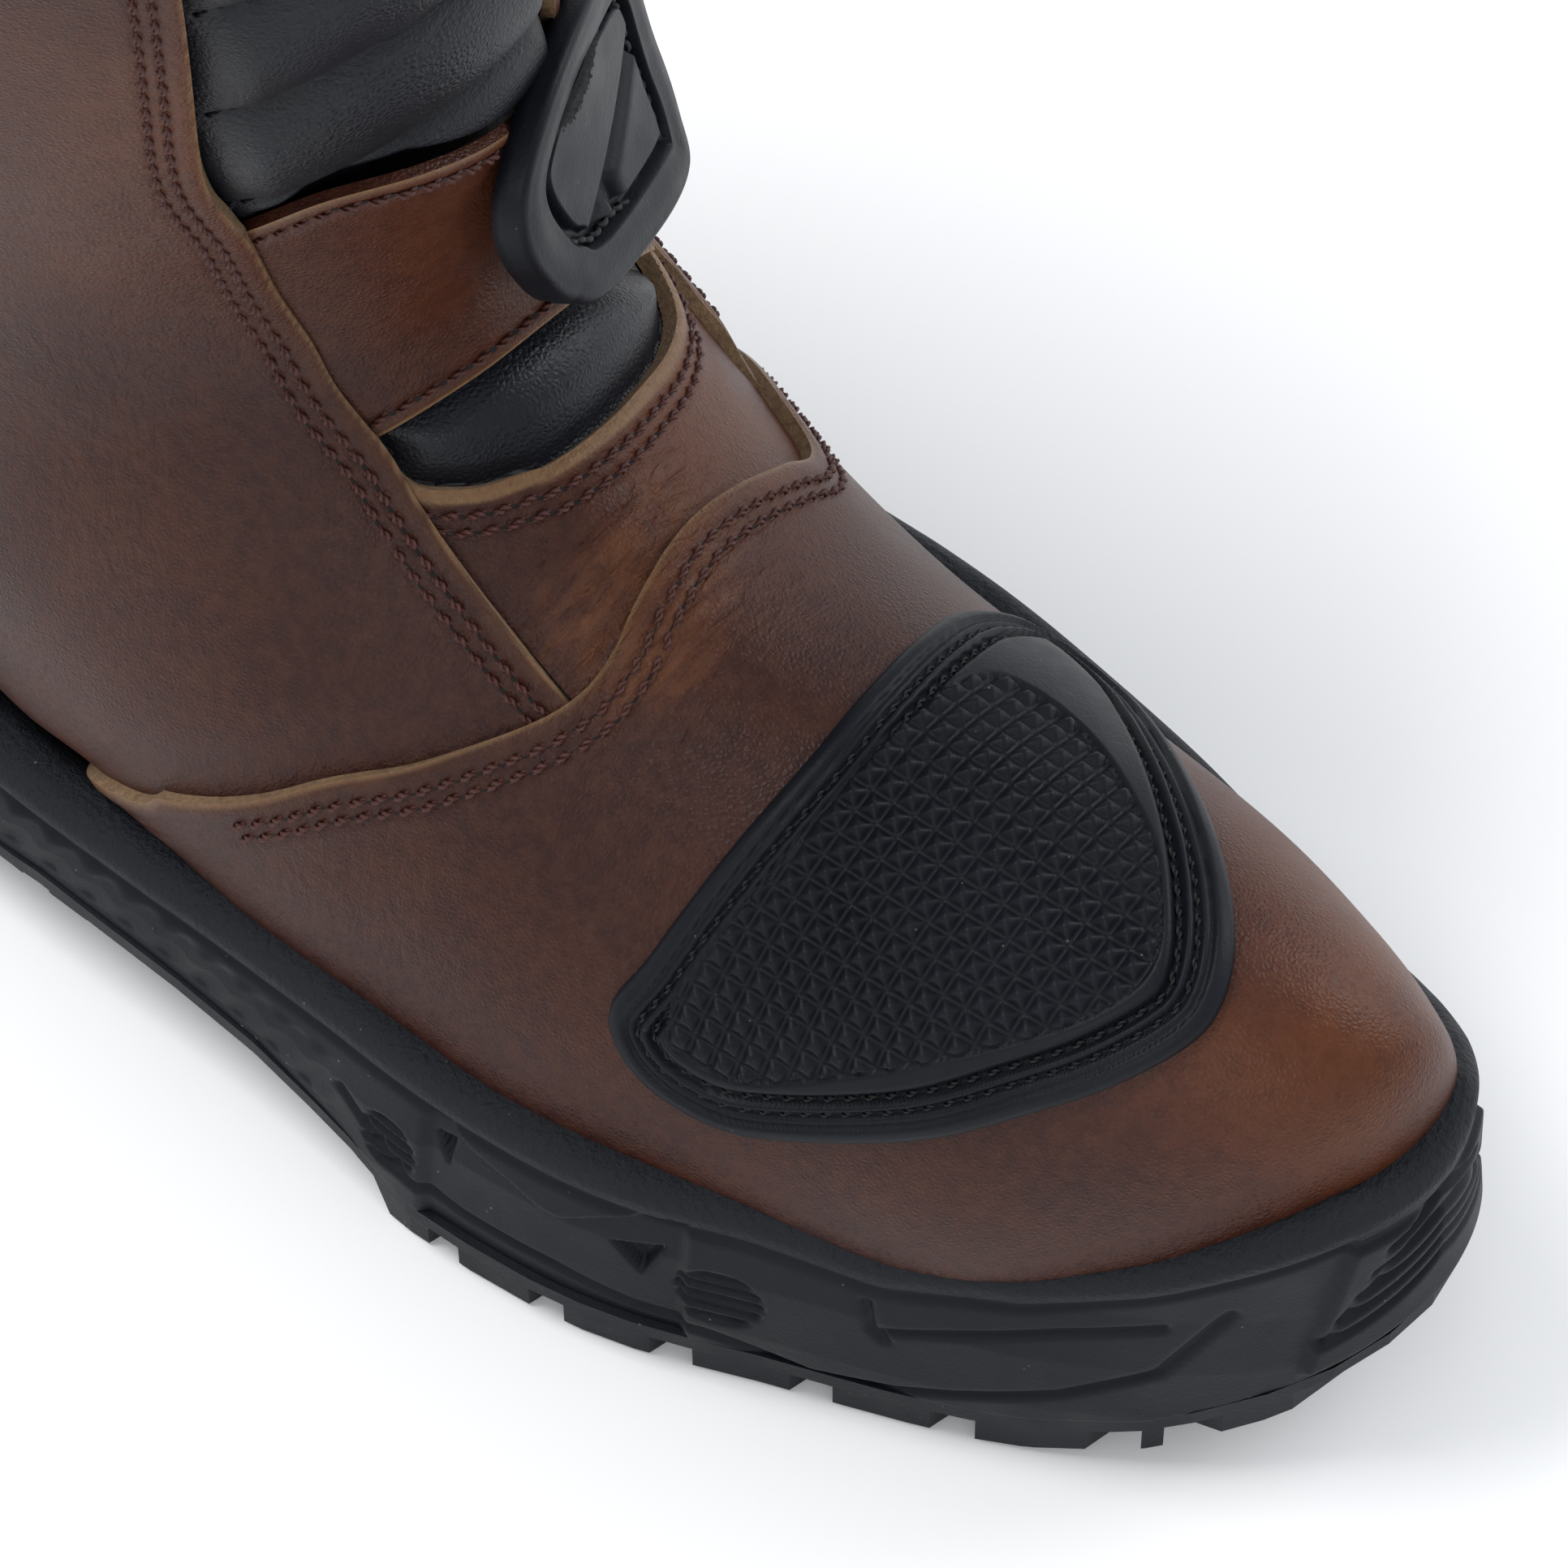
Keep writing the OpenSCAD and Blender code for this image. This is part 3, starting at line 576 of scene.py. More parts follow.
# toe cap: from its seam to the tip, with the rows of its grid along the seam
v = spread(62, 16, 0.8, 2.6)
tip_line = np.stack([np.full(len(CAP), 0.03), CAP[:, 1]], -1)
cap_grid = CAP[:, None] * (1 - v)[None, :, None] + tip_line[:, None] * v[None, :, None]
pts = surface(cap_grid)
make_cap = panel("toe_cap_leather", cap_grid, cap_lift(pts), 1.9, [LEATHER, RAW], "boot",
                 leather_marks(pts, near(pts, CAP_3D)))
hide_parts("toe_cap")
inside = slice(30, len(CAP) - 30)
stitches("toe_cap_stitch_1", shift(CAP, -FIRST_ROW)[inside], cap_lift, "boot")
stitches("toe_cap_stitch_2", shift(CAP, -SECOND_ROW)[inside], cap_lift, "boot")
# vamp: between the toe cap's seam and the throat
under_cap = path([(6.2, -26.5), (6.2, -10), (6.3, 13), (6.35, 37), (6.5, 52), (7.0, 62)], 1.2)
top_line = THROAT[6:-5]
u = np.linspace(0, 1, 150)
low_line = sample(u, np.linspace(0, 1, len(under_cap)), under_cap)
high_line = sample(u, np.linspace(0, 1, len(top_line)), top_line)
v = spread(14, 14, 0.8, 1.6)
grid = high_line[:, None] * (1 - v)[None, :, None] + low_line[:, None] * v[None, :, None]
pts = surface(grid)
vamp = panel("vamp_leather", grid, vamp_lift(pts), 2.3, [LEATHER, RAW], "boot",
             leather_marks(pts, near(pts, THROAT_3D), suede=1.9))
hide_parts("vamp")
throat = THROAT[8:-8]
stitches("throat_stitch_1", shift(throat, -FIRST_ROW), vamp_lift, "boot")
stitches("throat_stitch_2", shift(throat, -SECOND_ROW), vamp_lift, "boot")


# quarters: from the front edge back to the heel seam
def quarter(name, front, edge_3d, low, node, sign):
    rows = np.r_[np.linspace(front[0][0], 9.5, 56), np.linspace(9.55, 12.5, 50), np.linspace(12.6, 16, 62)]
    f, g = np.array(front), np.array(low)
    dense = path(front, 1.0)
    a = np.interp(rows, dense[:, 0], dense[:, 1])
    b = np.interp(rows, g[:, 0], g[:, 1])
    v = spread(44, 16, 0.8, 2.8)
    angle = a[:, None] * (1 - v) + b[:, None] * v
    grid = np.stack([np.repeat(rows[:, None], len(v), 1), angle], -1)
    pts = surface(grid)
    lift = quarter_lift(pts, edge_3d)
    top = surface(np.stack([np.full(120, 16.0), np.linspace(front[-1][1], low[-1][1], 120)], -1))
    rim = near(pts, top)
    lift = lift + seam_shape(rim, (3.5,), -0.2, 8)
    back_seam = near(pts, surface(np.stack([np.linspace(10.4, 16, 120), np.full(120, sign * 163.0)], -1)))
    lift = lift - 0.9 * ease(1 - back_seam / 7)
    ankle = np.exp(-((rows - 10.6) / 0.85) ** 2)[:, None] * np.exp(-((np.abs(angle) - 80) / 26) ** 2)
    lift = lift + 1.4 * ankle
    obj = panel(name, grid, lift, 1.9, [LEATHER, RAW], "boot",
                leather_marks(pts, near(pts, edge_3d), rim))
    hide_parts(node)


OUTER_LOW = [(6.3, -27.4), (6.45, -38), (7, -55), (7.6, -76), (8.35, -114), (8.5, -140), (10, -142), (10.4, -166),
             (16, -166)]
INNER_LOW = [(7.2, 63), (7.5, 78), (8.35, 116), (8.5, 140), (10, 142), (10.4, 166), (16, 166)]
quarter("outer_quarter_leather", OUTER, OUTER_3D, OUTER_LOW, "lateral_quarter", -1)
quarter("inner_quarter_leather", INNER, INNER_3D, INNER_LOW, "medial_quarter", 1)
outer_line = path(OUTER[1:], 1.4)
inner_line = path(INNER[1:], 1.4)
for i, d in enumerate((FIRST_ROW, SECOND_ROW)):
    stitches(f"outer_quarter_stitch_{i + 1}", shift(outer_line, d), lambda p: quarter_lift(p, OUTER_3D), "boot")
    stitches(f"inner_quarter_stitch_{i + 1}", shift(inner_line, -d), lambda p: quarter_lift(p, INNER_3D), "boot")
for name, ends in (("outer", (-40, -160)), ("inner", (24, 160))):
    line = path([(15.9, a) for a in np.linspace(*ends, 12)], 1.6)
    stitches(f"{name}_top_stitch", line, 0.35, "boot", paint_hole_shade=False)

# backstay over the heel seam
rows = np.r_[np.linspace(10.3, 12.5, 44), np.linspace(12.6, 16, 62)]
half = np.interp(rows, [10.3, 11.2, 13, 16], [20, 19, 15, 13])
cols = np.linspace(-1, 1, 31)
grid = np.stack([np.repeat(rows[:, None], 31, 1), 180 + half[:, None] * cols], -1)
pts = surface(grid)
edge = near(pts, np.vstack([lifted(grid[:, k], 0.0 * rows) for k in (0, -1)]))
stay = panel("backstay_leather", grid, 0.9 + seam_shape(edge, (2.6, 4.6), 0.1, 6), 1.8, [LEATHER, RAW], "boot",
             leather_marks(pts, edge))
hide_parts("backstay")
for k, side in ((0, -1), (-1, 1)):
    line = path(grid[::3, k], 1.4)
    for i, d in enumerate((2.6, 4.6)):
        stitches(f"backstay_stitch_{k + 1}_{i}", shift(line, side * d), 0.75, "boot")


# lining: inside face, outer face and top fold, with a padded collar
rows = np.r_[np.linspace(0.8, 3, 16), np.linspace(3.2, 9, 42), np.linspace(9.2, 16, 60)]
angles = np.linspace(-180, 180, 121)[:-1]
grid = np.stack(np.meshgrid(rows, angles, indexing="ij"), -1)
outer = lifted(grid, np.full(grid.shape[:2], -2.9))
inner = lifted(grid, np.full(grid.shape[:2], -4.9))
n = outer.shape[0] * outer.shape[1]
cols = len(angles)
points = np.vstack([outer.reshape(-1, 3), inner.reshape(-1, 3)])
faces = np.vstack([quads(len(rows), cols, 0, True, True), quads(len(rows), cols, n, True, False)])
last = (len(rows) - 1) * cols
rim = np.array([[last + j, last + (j + 1) % cols, n + last + (j + 1) % cols, n + last + j] for j in range(cols)])
tip = np.array([[0, j, j + 1, j + 1] for j in range(1, cols - 1)])[:, :3]
obj = make("lining_cloth", points, [*faces, *rim, *tip, *(tip[:, ::-1] + n)], [LINING], "boot")
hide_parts("lining")

rows = np.linspace(0, 1, 34)
angles = np.linspace(-180, 180, 181)[:-1]
turn = rows * 2 * math.pi
station = 15.62 + 0.42 * np.cos(turn)
ribs = 1 - 0.1 * bell(((angles[None] + 180) % 24 - 12), 1.6)
depth = -4.6 + 2.6 * np.sin(turn)[:, None] * ribs
grid = np.stack(np.meshgrid(station, angles, indexing="ij"), -1)
points = lifted(grid, depth).reshape(-1, 3)
obj = make("collar_padding", points, quads(len(rows), len(angles), 0, True, True), [BLACK], "boot",
           attributes={"crease": np.full(len(points), 0.3)})
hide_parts("collar")

# tongue pad below the ankle strap
count = 60
u = np.linspace(0, 1, count)
low_line = shift(THROAT, -4.0)[3:-3]
low_line = sample(u, np.linspace(0, 1, len(low_line)), low_line)
high_line = np.stack([np.full(count, 9.6), np.linspace(-33, 41, count)], -1)
v = np.linspace(0, 1, 46)
grid = low_line[:, None] * (1 - v)[None, :, None] + high_line[:, None] * v[None, :, None]
strap_low = np.interp(grid[..., 1], [-31, -23.9, -10.2, 7.1, 26.8, 40], [8.62, 8.40, 8.26, 8.16, 8.11, 8.1])
edge = np.minimum(near(surface(grid), THROAT_3D) + 2.5, (strap_low + 0.14 - grid[..., 0]) * 21)
lift = -4.2 + 4.9 * ease(edge / 11) ** 0.8
tongue = panel("tongue_padding", grid, lift, 3.0, [BLACK], "boot",
               {"crease": 0.03 + 0.10 * bell(edge - 4, 3)})
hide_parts("tongue_pad")

# ribbed gusset above the strap: padded ribs between stitched channels
CHANNELS = np.array([10.2, 11.15, 12.1, 13.1, 13.72, 14.22, 14.68, 15.12, 15.55, 16.3])
rows = np.r_[np.linspace(10.3, 13.1, 120), np.linspace(13.13, 16, 130)]
front = np.interp(rows, path(OUTER, 1.0)[:, 0], path(OUTER, 1.0)[:, 1]) - 6
inner = np.interp(rows, path(INNER, 1.0)[:, 0], path(INNER, 1.0)[:, 1]) + 6
cols = np.linspace(0, 1, 70)
angle = front[:, None] * (1 - cols) + inner[:, None] * cols
bow = 0.10 * np.sin(cols * math.pi * 1.3 - 0.4)[None] + 0.05 * (cols[None] - 0.5)
grid = np.stack([np.repeat(rows[:, None], 70, 1), angle], -1)
where = grid[..., 0] - bow
k = np.clip(np.searchsorted(CHANNELS, where) - 1, 0, len(CHANNELS) - 2)
part = (where - CHANNELS[k]) / (CHANNELS[k + 1] - CHANNELS[k])
rib = np.sin(np.clip(part, 0, 1) * math.pi) ** 0.42
sides = (ease((cols - 0.06) * 7) * ease((0.94 - cols) * 7))[None]
strap_top = np.interp(grid[..., 1], [-42, -34.7, -25, -13.7, 1.1, 20, 38],
                      [11.6, 11.8, 12.04, 11.92, 11.5, 11.1, 10.9])
above = ease((grid[..., 0] - strap_top + 0.05) / 0.25)
lift = (-2.4 + 4.2 * rib * sides) * above - 2.7 * (1 - above)
gusset = panel("gusset_ribs", grid, lift, 2.0, [BLACK], "boot",
               {"crease": np.clip(1.1 - 1.3 * rib, 0.12, 1)})
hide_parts("front_gusset")
for i, c in enumerate(CHANNELS[2:-1]):
    a = np.linspace(0.06, 0.94, 20)
    s = c + 0.10 * np.sin(a * math.pi * 1.3 - 0.4) + 0.05 * (a - 0.5)
    f = np.interp(s, path(OUTER, 1.0)[:, 0], path(OUTER, 1.0)[:, 1]) - 6
    g = np.interp(s, path(INNER, 1.0)[:, 0], path(INNER, 1.0)[:, 1]) + 6
    line = path(np.stack([s, f * (1 - a) + g * a], -1), 1.5)
    stitches(f"gusset_stitch_{i + 1}", line, -2.1, "boot", DARK_THREAD, 3.0, 0.22, paint_hole_shade=False)


# ---------------------------------------------------------------- straps, patches, bands and tabs
def strap(name, low, high, node, rise):
    a, b = path(low, 1.0), path(high, 1.0)
    u = np.linspace(0, 1, 90)
    a, b = (sample(u, np.linspace(0, 1, len(x)), x) for x in (a, b))
    v = 0.5 - 0.5 * np.cos(np.linspace(0, 1, 60) * math.pi)
    grid = a[:, None] * (1 - v)[None, :, None] + b[:, None] * v[None, :, None]
    pts = surface(grid)
    ends = np.vstack([pts[:, 0], pts[:, -1]])
    edge = near(pts, ends)
    slope = rise[0] + (rise[1] - rise[0]) * ease(u / rise[2])[:, None]
    bulge = 0.5 * np.sin(v * math.pi)[None]
    lift = slope + bulge + seam_shape(edge, (2.4,), -0.1, 5)
    obj = panel(name, grid, lift, 1.5, [LEATHER], "boot", leather_marks(pts, edge))
    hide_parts(node)
    for i, (line, side) in enumerate(((a, 1), (b, -1))):
        row = shift(line, side * 2.4)[8:-4]
        row = path(row, 1.0, smooth=False)
        f = np.linspace(8 / 90, 86 / 90, 400)
        guide = surface(sample(f, u, shift(line, side * 2.4)))

        def height(p, guide=guide, f=f):
            flat = p.reshape(-1, 3)
            best = np.array([((guide - q) ** 2).sum(1).argmin() for q in flat])
            h = rise[0] + (rise[1] - rise[0]) * ease(f[best] / rise[2]) - 0.25
            return h.reshape(p.shape[:-1])

        stitches(f"{name}_stitch_{i + 1}", row, height, "boot")


strap("ankle_strap_leather", [(8.62, -31), (8.40, -23.9), (8.26, -10.2), (8.16, 7.1), (8.11, 26.8), (8.1, 40)],
      [(11.6, -42), (11.80, -34.7), (12.04, -25), (11.92, -13.7), (11.5, 1.1), (11.1, 20), (10.9, 38)],
      "ankle_strap", (-1.0, 3.4, 0.42))
strap("calf_strap_leather", [(14.62, -42), (14.62, -20), (14.66, 10), (14.66, 40)],
      [(15.5, -42), (15.5, -20), (15.52, 10), (15.52, 40)], "calf_strap", (-1.0, 3.4, 0.3))


def polygon_distance(points, ring):
    """Signed distance in the plane to a closed ring, positive inside."""
    a, b = ring, np.roll(ring, -1, 0)
    flat = points.reshape(-1, 2)
    best = np.full(len(flat), 1e9)
    inside = np.zeros(len(flat), bool)
    for p, q in zip(a, b):
        e = q - p
        t = np.clip(((flat - p) @ e) / max((e @ e), 1e-9), 0, 1)
        best = np.minimum(best, np.linalg.norm(flat - p - t[:, None] * e, axis=1))
        crosses = (p[1] > flat[:, 1]) != (q[1] > flat[:, 1])
        with np.errstate(divide="ignore", invalid="ignore"):
            x = p[0] + (flat[:, 1] - p[1]) * e[0] / (e[1] if e[1] else 1e-12)
        inside ^= crosses & (flat[:, 0] < x)
    return np.where(inside, best, -best).reshape(points.shape[:-1])


def ring_of(points, count=220):
    c = np.array(points, float)
    n = len(c)
    t = np.linspace(0, 1, 16, endpoint=False)[:, None]
    out = np.vstack([spline(c[i - 1], c[i], c[(i + 1) % n], c[(i + 2) % n], t) for i in range(n)])
    length = np.r_[0, np.cumsum(np.linalg.norm(np.diff(np.vstack([out, out[:1]]), axis=0), axis=1))]
    at = np.linspace(0, length[-1], count, endpoint=False)
    return np.stack([np.interp(at, length, np.r_[out[:, k], out[0, k]]) for k in (0, 1)], -1)


def relief(name, ring, to_surface, profile, base, material, body, f):
    """A moulded piece: its outline in flat millimetres, and its height over the surface at each distance."""
    centre = ring.mean(0)
    flat = centre + (ring[None] - centre) * f[:, None, None]
    d = polygon_distance(flat, ring)
    d[-1] = 0
    height = profile(d, flat)
    st = to_surface(flat)
    top = lifted(st, height)
    n, cols = len(f), len(ring)
    wall = lifted(st[-1], np.full(cols, base))
    points = np.vstack([top.reshape(-1, 3), wall, lifted(to_surface(centre[None]), np.array([base]))])
    faces = [*quads(n, cols, 0, True, False), *quads(2, cols, (n - 1) * cols, True, False)]
    middle = n * cols + cols
    faces += [[middle, n * cols + (j + 1) % cols, n * cols + j] for j in range(cols)]
    return make(name, points, faces, [material], body)


def chart(middle):
    """Flat millimetres round one point of the surface: x towards larger angles, y up the boot."""
    along, around = tangents(np.array([middle], float))
    up, side = np.linalg.norm(along[0]), np.linalg.norm(around[0])

    def to_surface(flat):
        return np.stack([middle[0] + flat[..., 1] / up, middle[1] + flat[..., 0] / side], -1)

    def to_flat(st):
        st = np.asarray(st, float)
        return np.stack([(st[..., 1] - middle[1]) * side, (st[..., 0] - middle[0]) * up], -1)

    return to_surface, to_flat


def pull_tab(prefix, outline, middle, node, body, base, rise):
    """A stiff moulded D: a smoothly bent plate through its outline, with a raised rim and islands."""
    to_surface, to_flat = chart(middle)
    ring = ring_of(to_flat(outline), 300)
    edge = lifted(to_surface(ring), np.full(300, base + rise))
    centre = edge.mean(0)
    axes = np.linalg.svd(edge - centre)[2]
    up = axes[2] * np.sign(axes[2] @ normals(np.array([middle], float))[0])
    right = np.cross((0, 0, 1.0), up)
    right /= np.linalg.norm(right)
    axes = np.array([right, np.cross(up, right), up])
    local = (edge - centre) @ axes.T
    plan, tall = local[:, :2], local[:, 2]

    def terms(q):
        x, y = q[..., 0] / 30, q[..., 1] / 30
        return np.stack([np.ones_like(x), x, y, x * x, x * y, y * y], -1)

    fit = np.linalg.lstsq(terms(plan), tall, rcond=None)[0]
    fit[1:3] = 0
    fit[3:] *= 0.35
    tilt = math.radians(8)   # its lower end stands a little further off the boot
    cos, sin = math.cos(tilt), math.sin(tilt)
    axes[1:] = [cos * axes[1] - sin * axes[2], sin * axes[1] + cos * axes[2]]
    centre = centre + 0.5 * axes[2]
    low, high = plan.min(0), plan.max(0)
    rim = 0.13 * min(high - low)
    steps = np.r_[0, np.linspace(0.03, 0.6, 66), np.linspace(0.61, 0.985, 90), [0.991, 0.996, 1.0]]
    flat = plan[None] * steps[:, None, None]
    d = polygon_distance(flat, plan)
    d[-1] = 0
    x = (flat[..., 0] - low[0]) / (high[0] - low[0])
    y = (flat[..., 1] - low[1]) / (high[1] - low[1])
    crown = -1.1 * (1 - np.sqrt(np.clip(1 - (1 - np.clip(d / 1.3, 0, 1)) ** 2, 0, 1)))
    dip = -2.3 * ease((d - rim) / 0.7)
    island = 1.9 * ease((d - rim - 2.1) / 0.7)
    split = 1 - np.clip(1.4 * bell(y - 0.44 - 0.12 * (x - 0.5), 0.03), 0, 1)
    second = 1 - np.clip(1.4 * bell(x - 0.45, 0.026), 0, 1) * (y < 0.44)
    height = crown + dip + island * split * second + 0.35 * bell(d - rim * 0.5, rim * 0.3)

    def place(q, h):
        return centre + q[..., :1] * axes[0] + q[..., 1:2] * axes[1] + (terms(q) @ fit + h)[..., None] * axes[2]

    n, cols = len(steps), 300
    top = place(flat, height)
    low_rows = place(plan[None] * np.array([1.0, 1.0, 0.5, 0.02])[:, None, None],
                     np.array([-2.6, -4.2, -4.2, -4.2])[:, None] * np.ones((1, cols)))
    points = np.vstack([top.reshape(-1, 3), low_rows.reshape(-1, 3)])
    faces = np.vstack([quads(n, cols, 0, True), quads(5, cols, (n - 1) * cols, True)])
    turned = np.cross(plan[0], plan[40])
    obj = make(prefix + "_tab_rubber", points, faces if turned > 0 else faces[:, ::-1], [TRIM], body)
    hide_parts(node)
    row = plan * (1 - (rim + 1.4) / np.linalg.norm(plan, axis=1))[:, None]
    thread_row(prefix + "_tab_stitch", place(row, np.full(cols, -1.9)), axes[2], body)
    return to_surface, ring


def thread_row(name, points, up, body, pitch=2.7):
    """Single dark stitches along a closed line of points."""
    loop = np.vstack([points, points[:1]])
    length = np.r_[0, np.cumsum(np.linalg.norm(np.diff(loop, axis=0), axis=1))]
    count = int(length[-1] / pitch)
    at = (np.arange(count)[:, None] + np.linspace(-0.42, 0.42, 7)) * length[-1] / count % length[-1]
    mid = np.stack([np.interp(at, length, loop[:, k]) for k in range(3)], -1)
    go = np.gradient(mid, axis=1)
    go /= np.linalg.norm(go, axis=-1, keepdims=True)
    side = np.cross(up, go)
    mid = mid + (0.45 - 0.7 * np.linspace(-1, 1, 7) ** 4)[None, :, None] * up
    turn = np.arange(6) * math.pi / 3
    cloud = mid[:, :, None] + 0.42 * (np.cos(turn)[:, None] * side[:, :, None] + np.sin(turn)[:, None] * up)
    one = quads(7, 6, 0, True)
    faces = (one[None] + np.arange(count)[:, None, None] * 42).reshape(-1, 4)
    make(name, cloud.reshape(-1, 3), faces, [DARK_THREAD], body)


ANKLE_TAB = [(8.2, 20), (8.43, 10), (9, 2.7), (10, -3.2), (10.8, -4.5), (11.35, -0.6), (11.7, 9), (11.8, 20),
             (11.7, 32), (11.5, 42), (11.1, 45.5), (10, 46.2), (9.1, 46), (8.55, 44), (8.25, 34)]
CALF_TAB = [(14.55, 14), (14.6, 5), (14.78, -3), (15.05, -6), (15.32, -3), (15.5, 5), (15.56, 14), (15.55, 24),
            (15.47, 31), (15.3, 33.5), (15.05, 34), (14.8, 33.5), (14.63, 31), (14.56, 24)]


def patch(name, ring, to_surface, lift, thick, body, node):
    centre = ring.mean(0)
    small = centre + (ring - centre) * 0.72

    def profile(d, flat):
        fuzz = ease(np.linalg.norm(flat - centre, axis=-1) / 8)
        return lift + thick * ease(d / 0.5) + 0.1 * rng.standard_normal(d.shape) * (d > 0.3) * fuzz

    obj = relief(name, small, to_surface, profile, lift, HOOK, body,
                 np.linspace(0, 1, 40))
    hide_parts(node)


for prefix, outline, middle, band in (("ankle", ANKLE_TAB, (9.95, 21), (8.75, 11.35, 74)),
                                      ("calf", CALF_TAB, (15.05, 14), (14.66, 15.44, 62))):
    body = prefix + "_closure"
    to_surface, ring = pull_tab(prefix, outline, middle, prefix + "_tab", body, 6.1, 4.3)
    patch(prefix + "_loops", ring, to_surface, 4.05, 0.75, "boot", prefix + "_loop_patch")
    patch(prefix + "_hooks", ring, to_surface, 5.3, 0.75, body, prefix + "_hook_patch")
    end = max(p[1] for p in outline)
    u = np.linspace(0, 1, 60)
    a = end - 12 + (band[2] - end + 12) * u
    v = np.linspace(0, 1, 40)
    s = band[0] + (band[1] - band[0]) * v
    grid = np.stack([np.repeat(s[None], 60, 0), np.repeat(a[:, None], 40, 1)], -1)
    drop = ease((a - end + 1) / 15)[:, None]
    edge = np.minimum(v, 1 - v)[None] * 36
    lift = 7.6 * (1 - drop) + 2.3 * drop + 0.35 * ease(edge / 4) - 0.3 * bell(edge - 2.4, 0.7)
    obj = panel(prefix + "_band_leather", grid, lift, 1.7, [BLACK], None,
                {"crease": np.full(lift.shape, 0.25)})
    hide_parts(prefix + "_band")
    sewn, free = (Vector(lifted([(band[0] + band[1]) / 2, band[2] - k], h) * MM) for k, h in ((1, 2.3), (12, 4)))
    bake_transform(obj)
    for k, at in (("low", 0.067), ("high", 0.933)):
        line = np.stack([np.full(60, band[0] + (band[1] - band[0]) * at), a], -1)[18:]
        heights = lift[:, 3]
        ref = surface(np.stack([np.full(60, (band[0] + band[1]) / 2), a], -1))

        def height(p, ref=ref, heights=heights):
            best = np.array([((ref - q) ** 2).sum(1).argmin() for q in p.reshape(-1, 3)])
            return heights[best].reshape(p.shape[:-1])

        row = stitches(f"{prefix}_band_stitch_{k}", path(line, 1.2, smooth=False), height, None,
                       DARK_THREAD, 2.8, 0.22, paint_hole_shade=False)
        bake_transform(row)


# ---------------------------------------------------------------- shift pad on the instep
PAD_RIM = [(5.66, -59), (5.6, -48), (5.53, -30), (5.48, -11), (5.5, 8), (5.55, 24), (5.58, 38), (5.48, 51),
           (5.2, 55), (4.86, 52), (4.57, 45), (4.1, 31), (3.56, 14), (3.2, -1), (3.04, -15), (3.11, -26),
           (3.4, -38), (3.75, -47), (4.2, -58), (4.75, -67), (5.1, -70), (5.45, -67)]
angles = np.linspace(-80, 80, 641)
stations = np.linspace(2.6, 6.2, 361)
table = surface(np.stack(np.meshgrid(stations, angles, indexing="ij"), -1))
front_row = table[:, 320]
y_of = front_row[:, 1]
ring_length = np.concatenate([np.zeros((361, 1)), np.cumsum(np.linalg.norm(np.diff(table, axis=1), axis=2), 1)], 1)
ring_length -= ring_length[:, 320:321]


def pad_flat(st):
    st = np.asarray(st, float)
    y = np.interp(st[..., 0], stations, y_of)
    out = np.empty(st.shape[:-1] + (2,))
    for k in np.ndindex(st.shape[:-1]):
        row = int(round((st[k][0] - 2.6) / 0.01))
        out[k] = (np.interp(st[k][1], angles, ring_length[row]), y[k])
    return out


def pad_surface(flat):
    s = np.interp(flat[..., 1], y_of, stations)
    row = np.clip((s - 2.6) / 0.01, 0, 359.99)
    low = row.astype(int)
    part = row - low
    out = np.empty(flat.shape)
    shape = flat[..., 0]
    for r in np.unique(low):
        pick = low == r
        a = np.interp(shape[pick], ring_length[r], angles)
        b = np.interp(shape[pick], ring_length[r + 1], angles)
        out[pick, 1] = a * (1 - part[pick]) + b * part[pick]
    out[..., 0] = s
    return out


pad_ring = ring_of(pad_flat(PAD_RIM), 420)
island = ring_of(pad_flat([(5.41, -57), (5.43, -49), (5.38, -39), (5.31, -21), (5.28, 6), (5.27, 19), (5.15, 26),
                           (4.76, 26), (4.30, 17.5), (3.95, 7), (3.61, -10), (3.68, -23), (4.05, -36), (4.5, -48),
                           (4.96, -58), (5.24, -59.5)]), 220)


def pad_profile(d, flat):
    knots = [0, 0.25, 0.9, 1.6, 2.4, 2.9, 3.3, 3.8, 4.2, 4.7, 5.1, 5.7, 6.2, 7.0, 7.4, 7.9, 12, 24]
    level = [0.6, 1.7, 2.3, 2.6, 2.7, 1.7, 2.2, 2.2, 1.3, 1.3, 2.6, 2.7, 1.2, 1.2, 2.5, 2.9, 3.3, 3.8]
    h = np.interp(d, knots, level)
    inside = polygon_distance(flat, island)
    pitch = 3.24
    gx = np.abs((flat[..., 0] / pitch) % 1 - 0.5) * 2
    gy = np.abs((flat[..., 1] / pitch) % 1 - 0.5) * 2
    stud = np.clip(1.08 - np.maximum(gx, gy), 0, 0.9) / 0.9
    level = 1.9 + 0.025 * inside + 1.7 * stud ** 0.8
    return h * (1 - ease(inside / 0.7 + 0.4)) + ease(inside / 0.7 + 0.4) * np.where(inside > 0.3, level, 2.0)


# the pad is a fine square grid, cut to its outline by a ring-shaped edge
step = 0.36
lo, hi = np.floor(pad_ring.min(0) / step - 2) * step, pad_ring.max(0) + 1
gx = np.arange(lo[0], hi[0], step)
gy = np.arange(lo[1], hi[1], step)
flat = np.stack(np.meshgrid(gx, gy, indexing="ij"), -1)
d = polygon_distance(flat, pad_ring)
keep = d > 0.30
height = pad_profile(np.maximum(d, 0), flat)
st = pad_surface(flat)
top = lifted(st, height)
index = -np.ones(d.shape, int)
cell = keep[:-1, :-1] & keep[1:, :-1] & keep[:-1, 1:] & keep[1:, 1:]
used = np.zeros(d.shape, bool)
for di in (0, 1):
    for dj in (0, 1):
        used[di:d.shape[0] - 1 + di, dj:d.shape[1] - 1 + dj] |= cell
index[used] = np.arange(used.sum())
i, j = np.nonzero(cell)
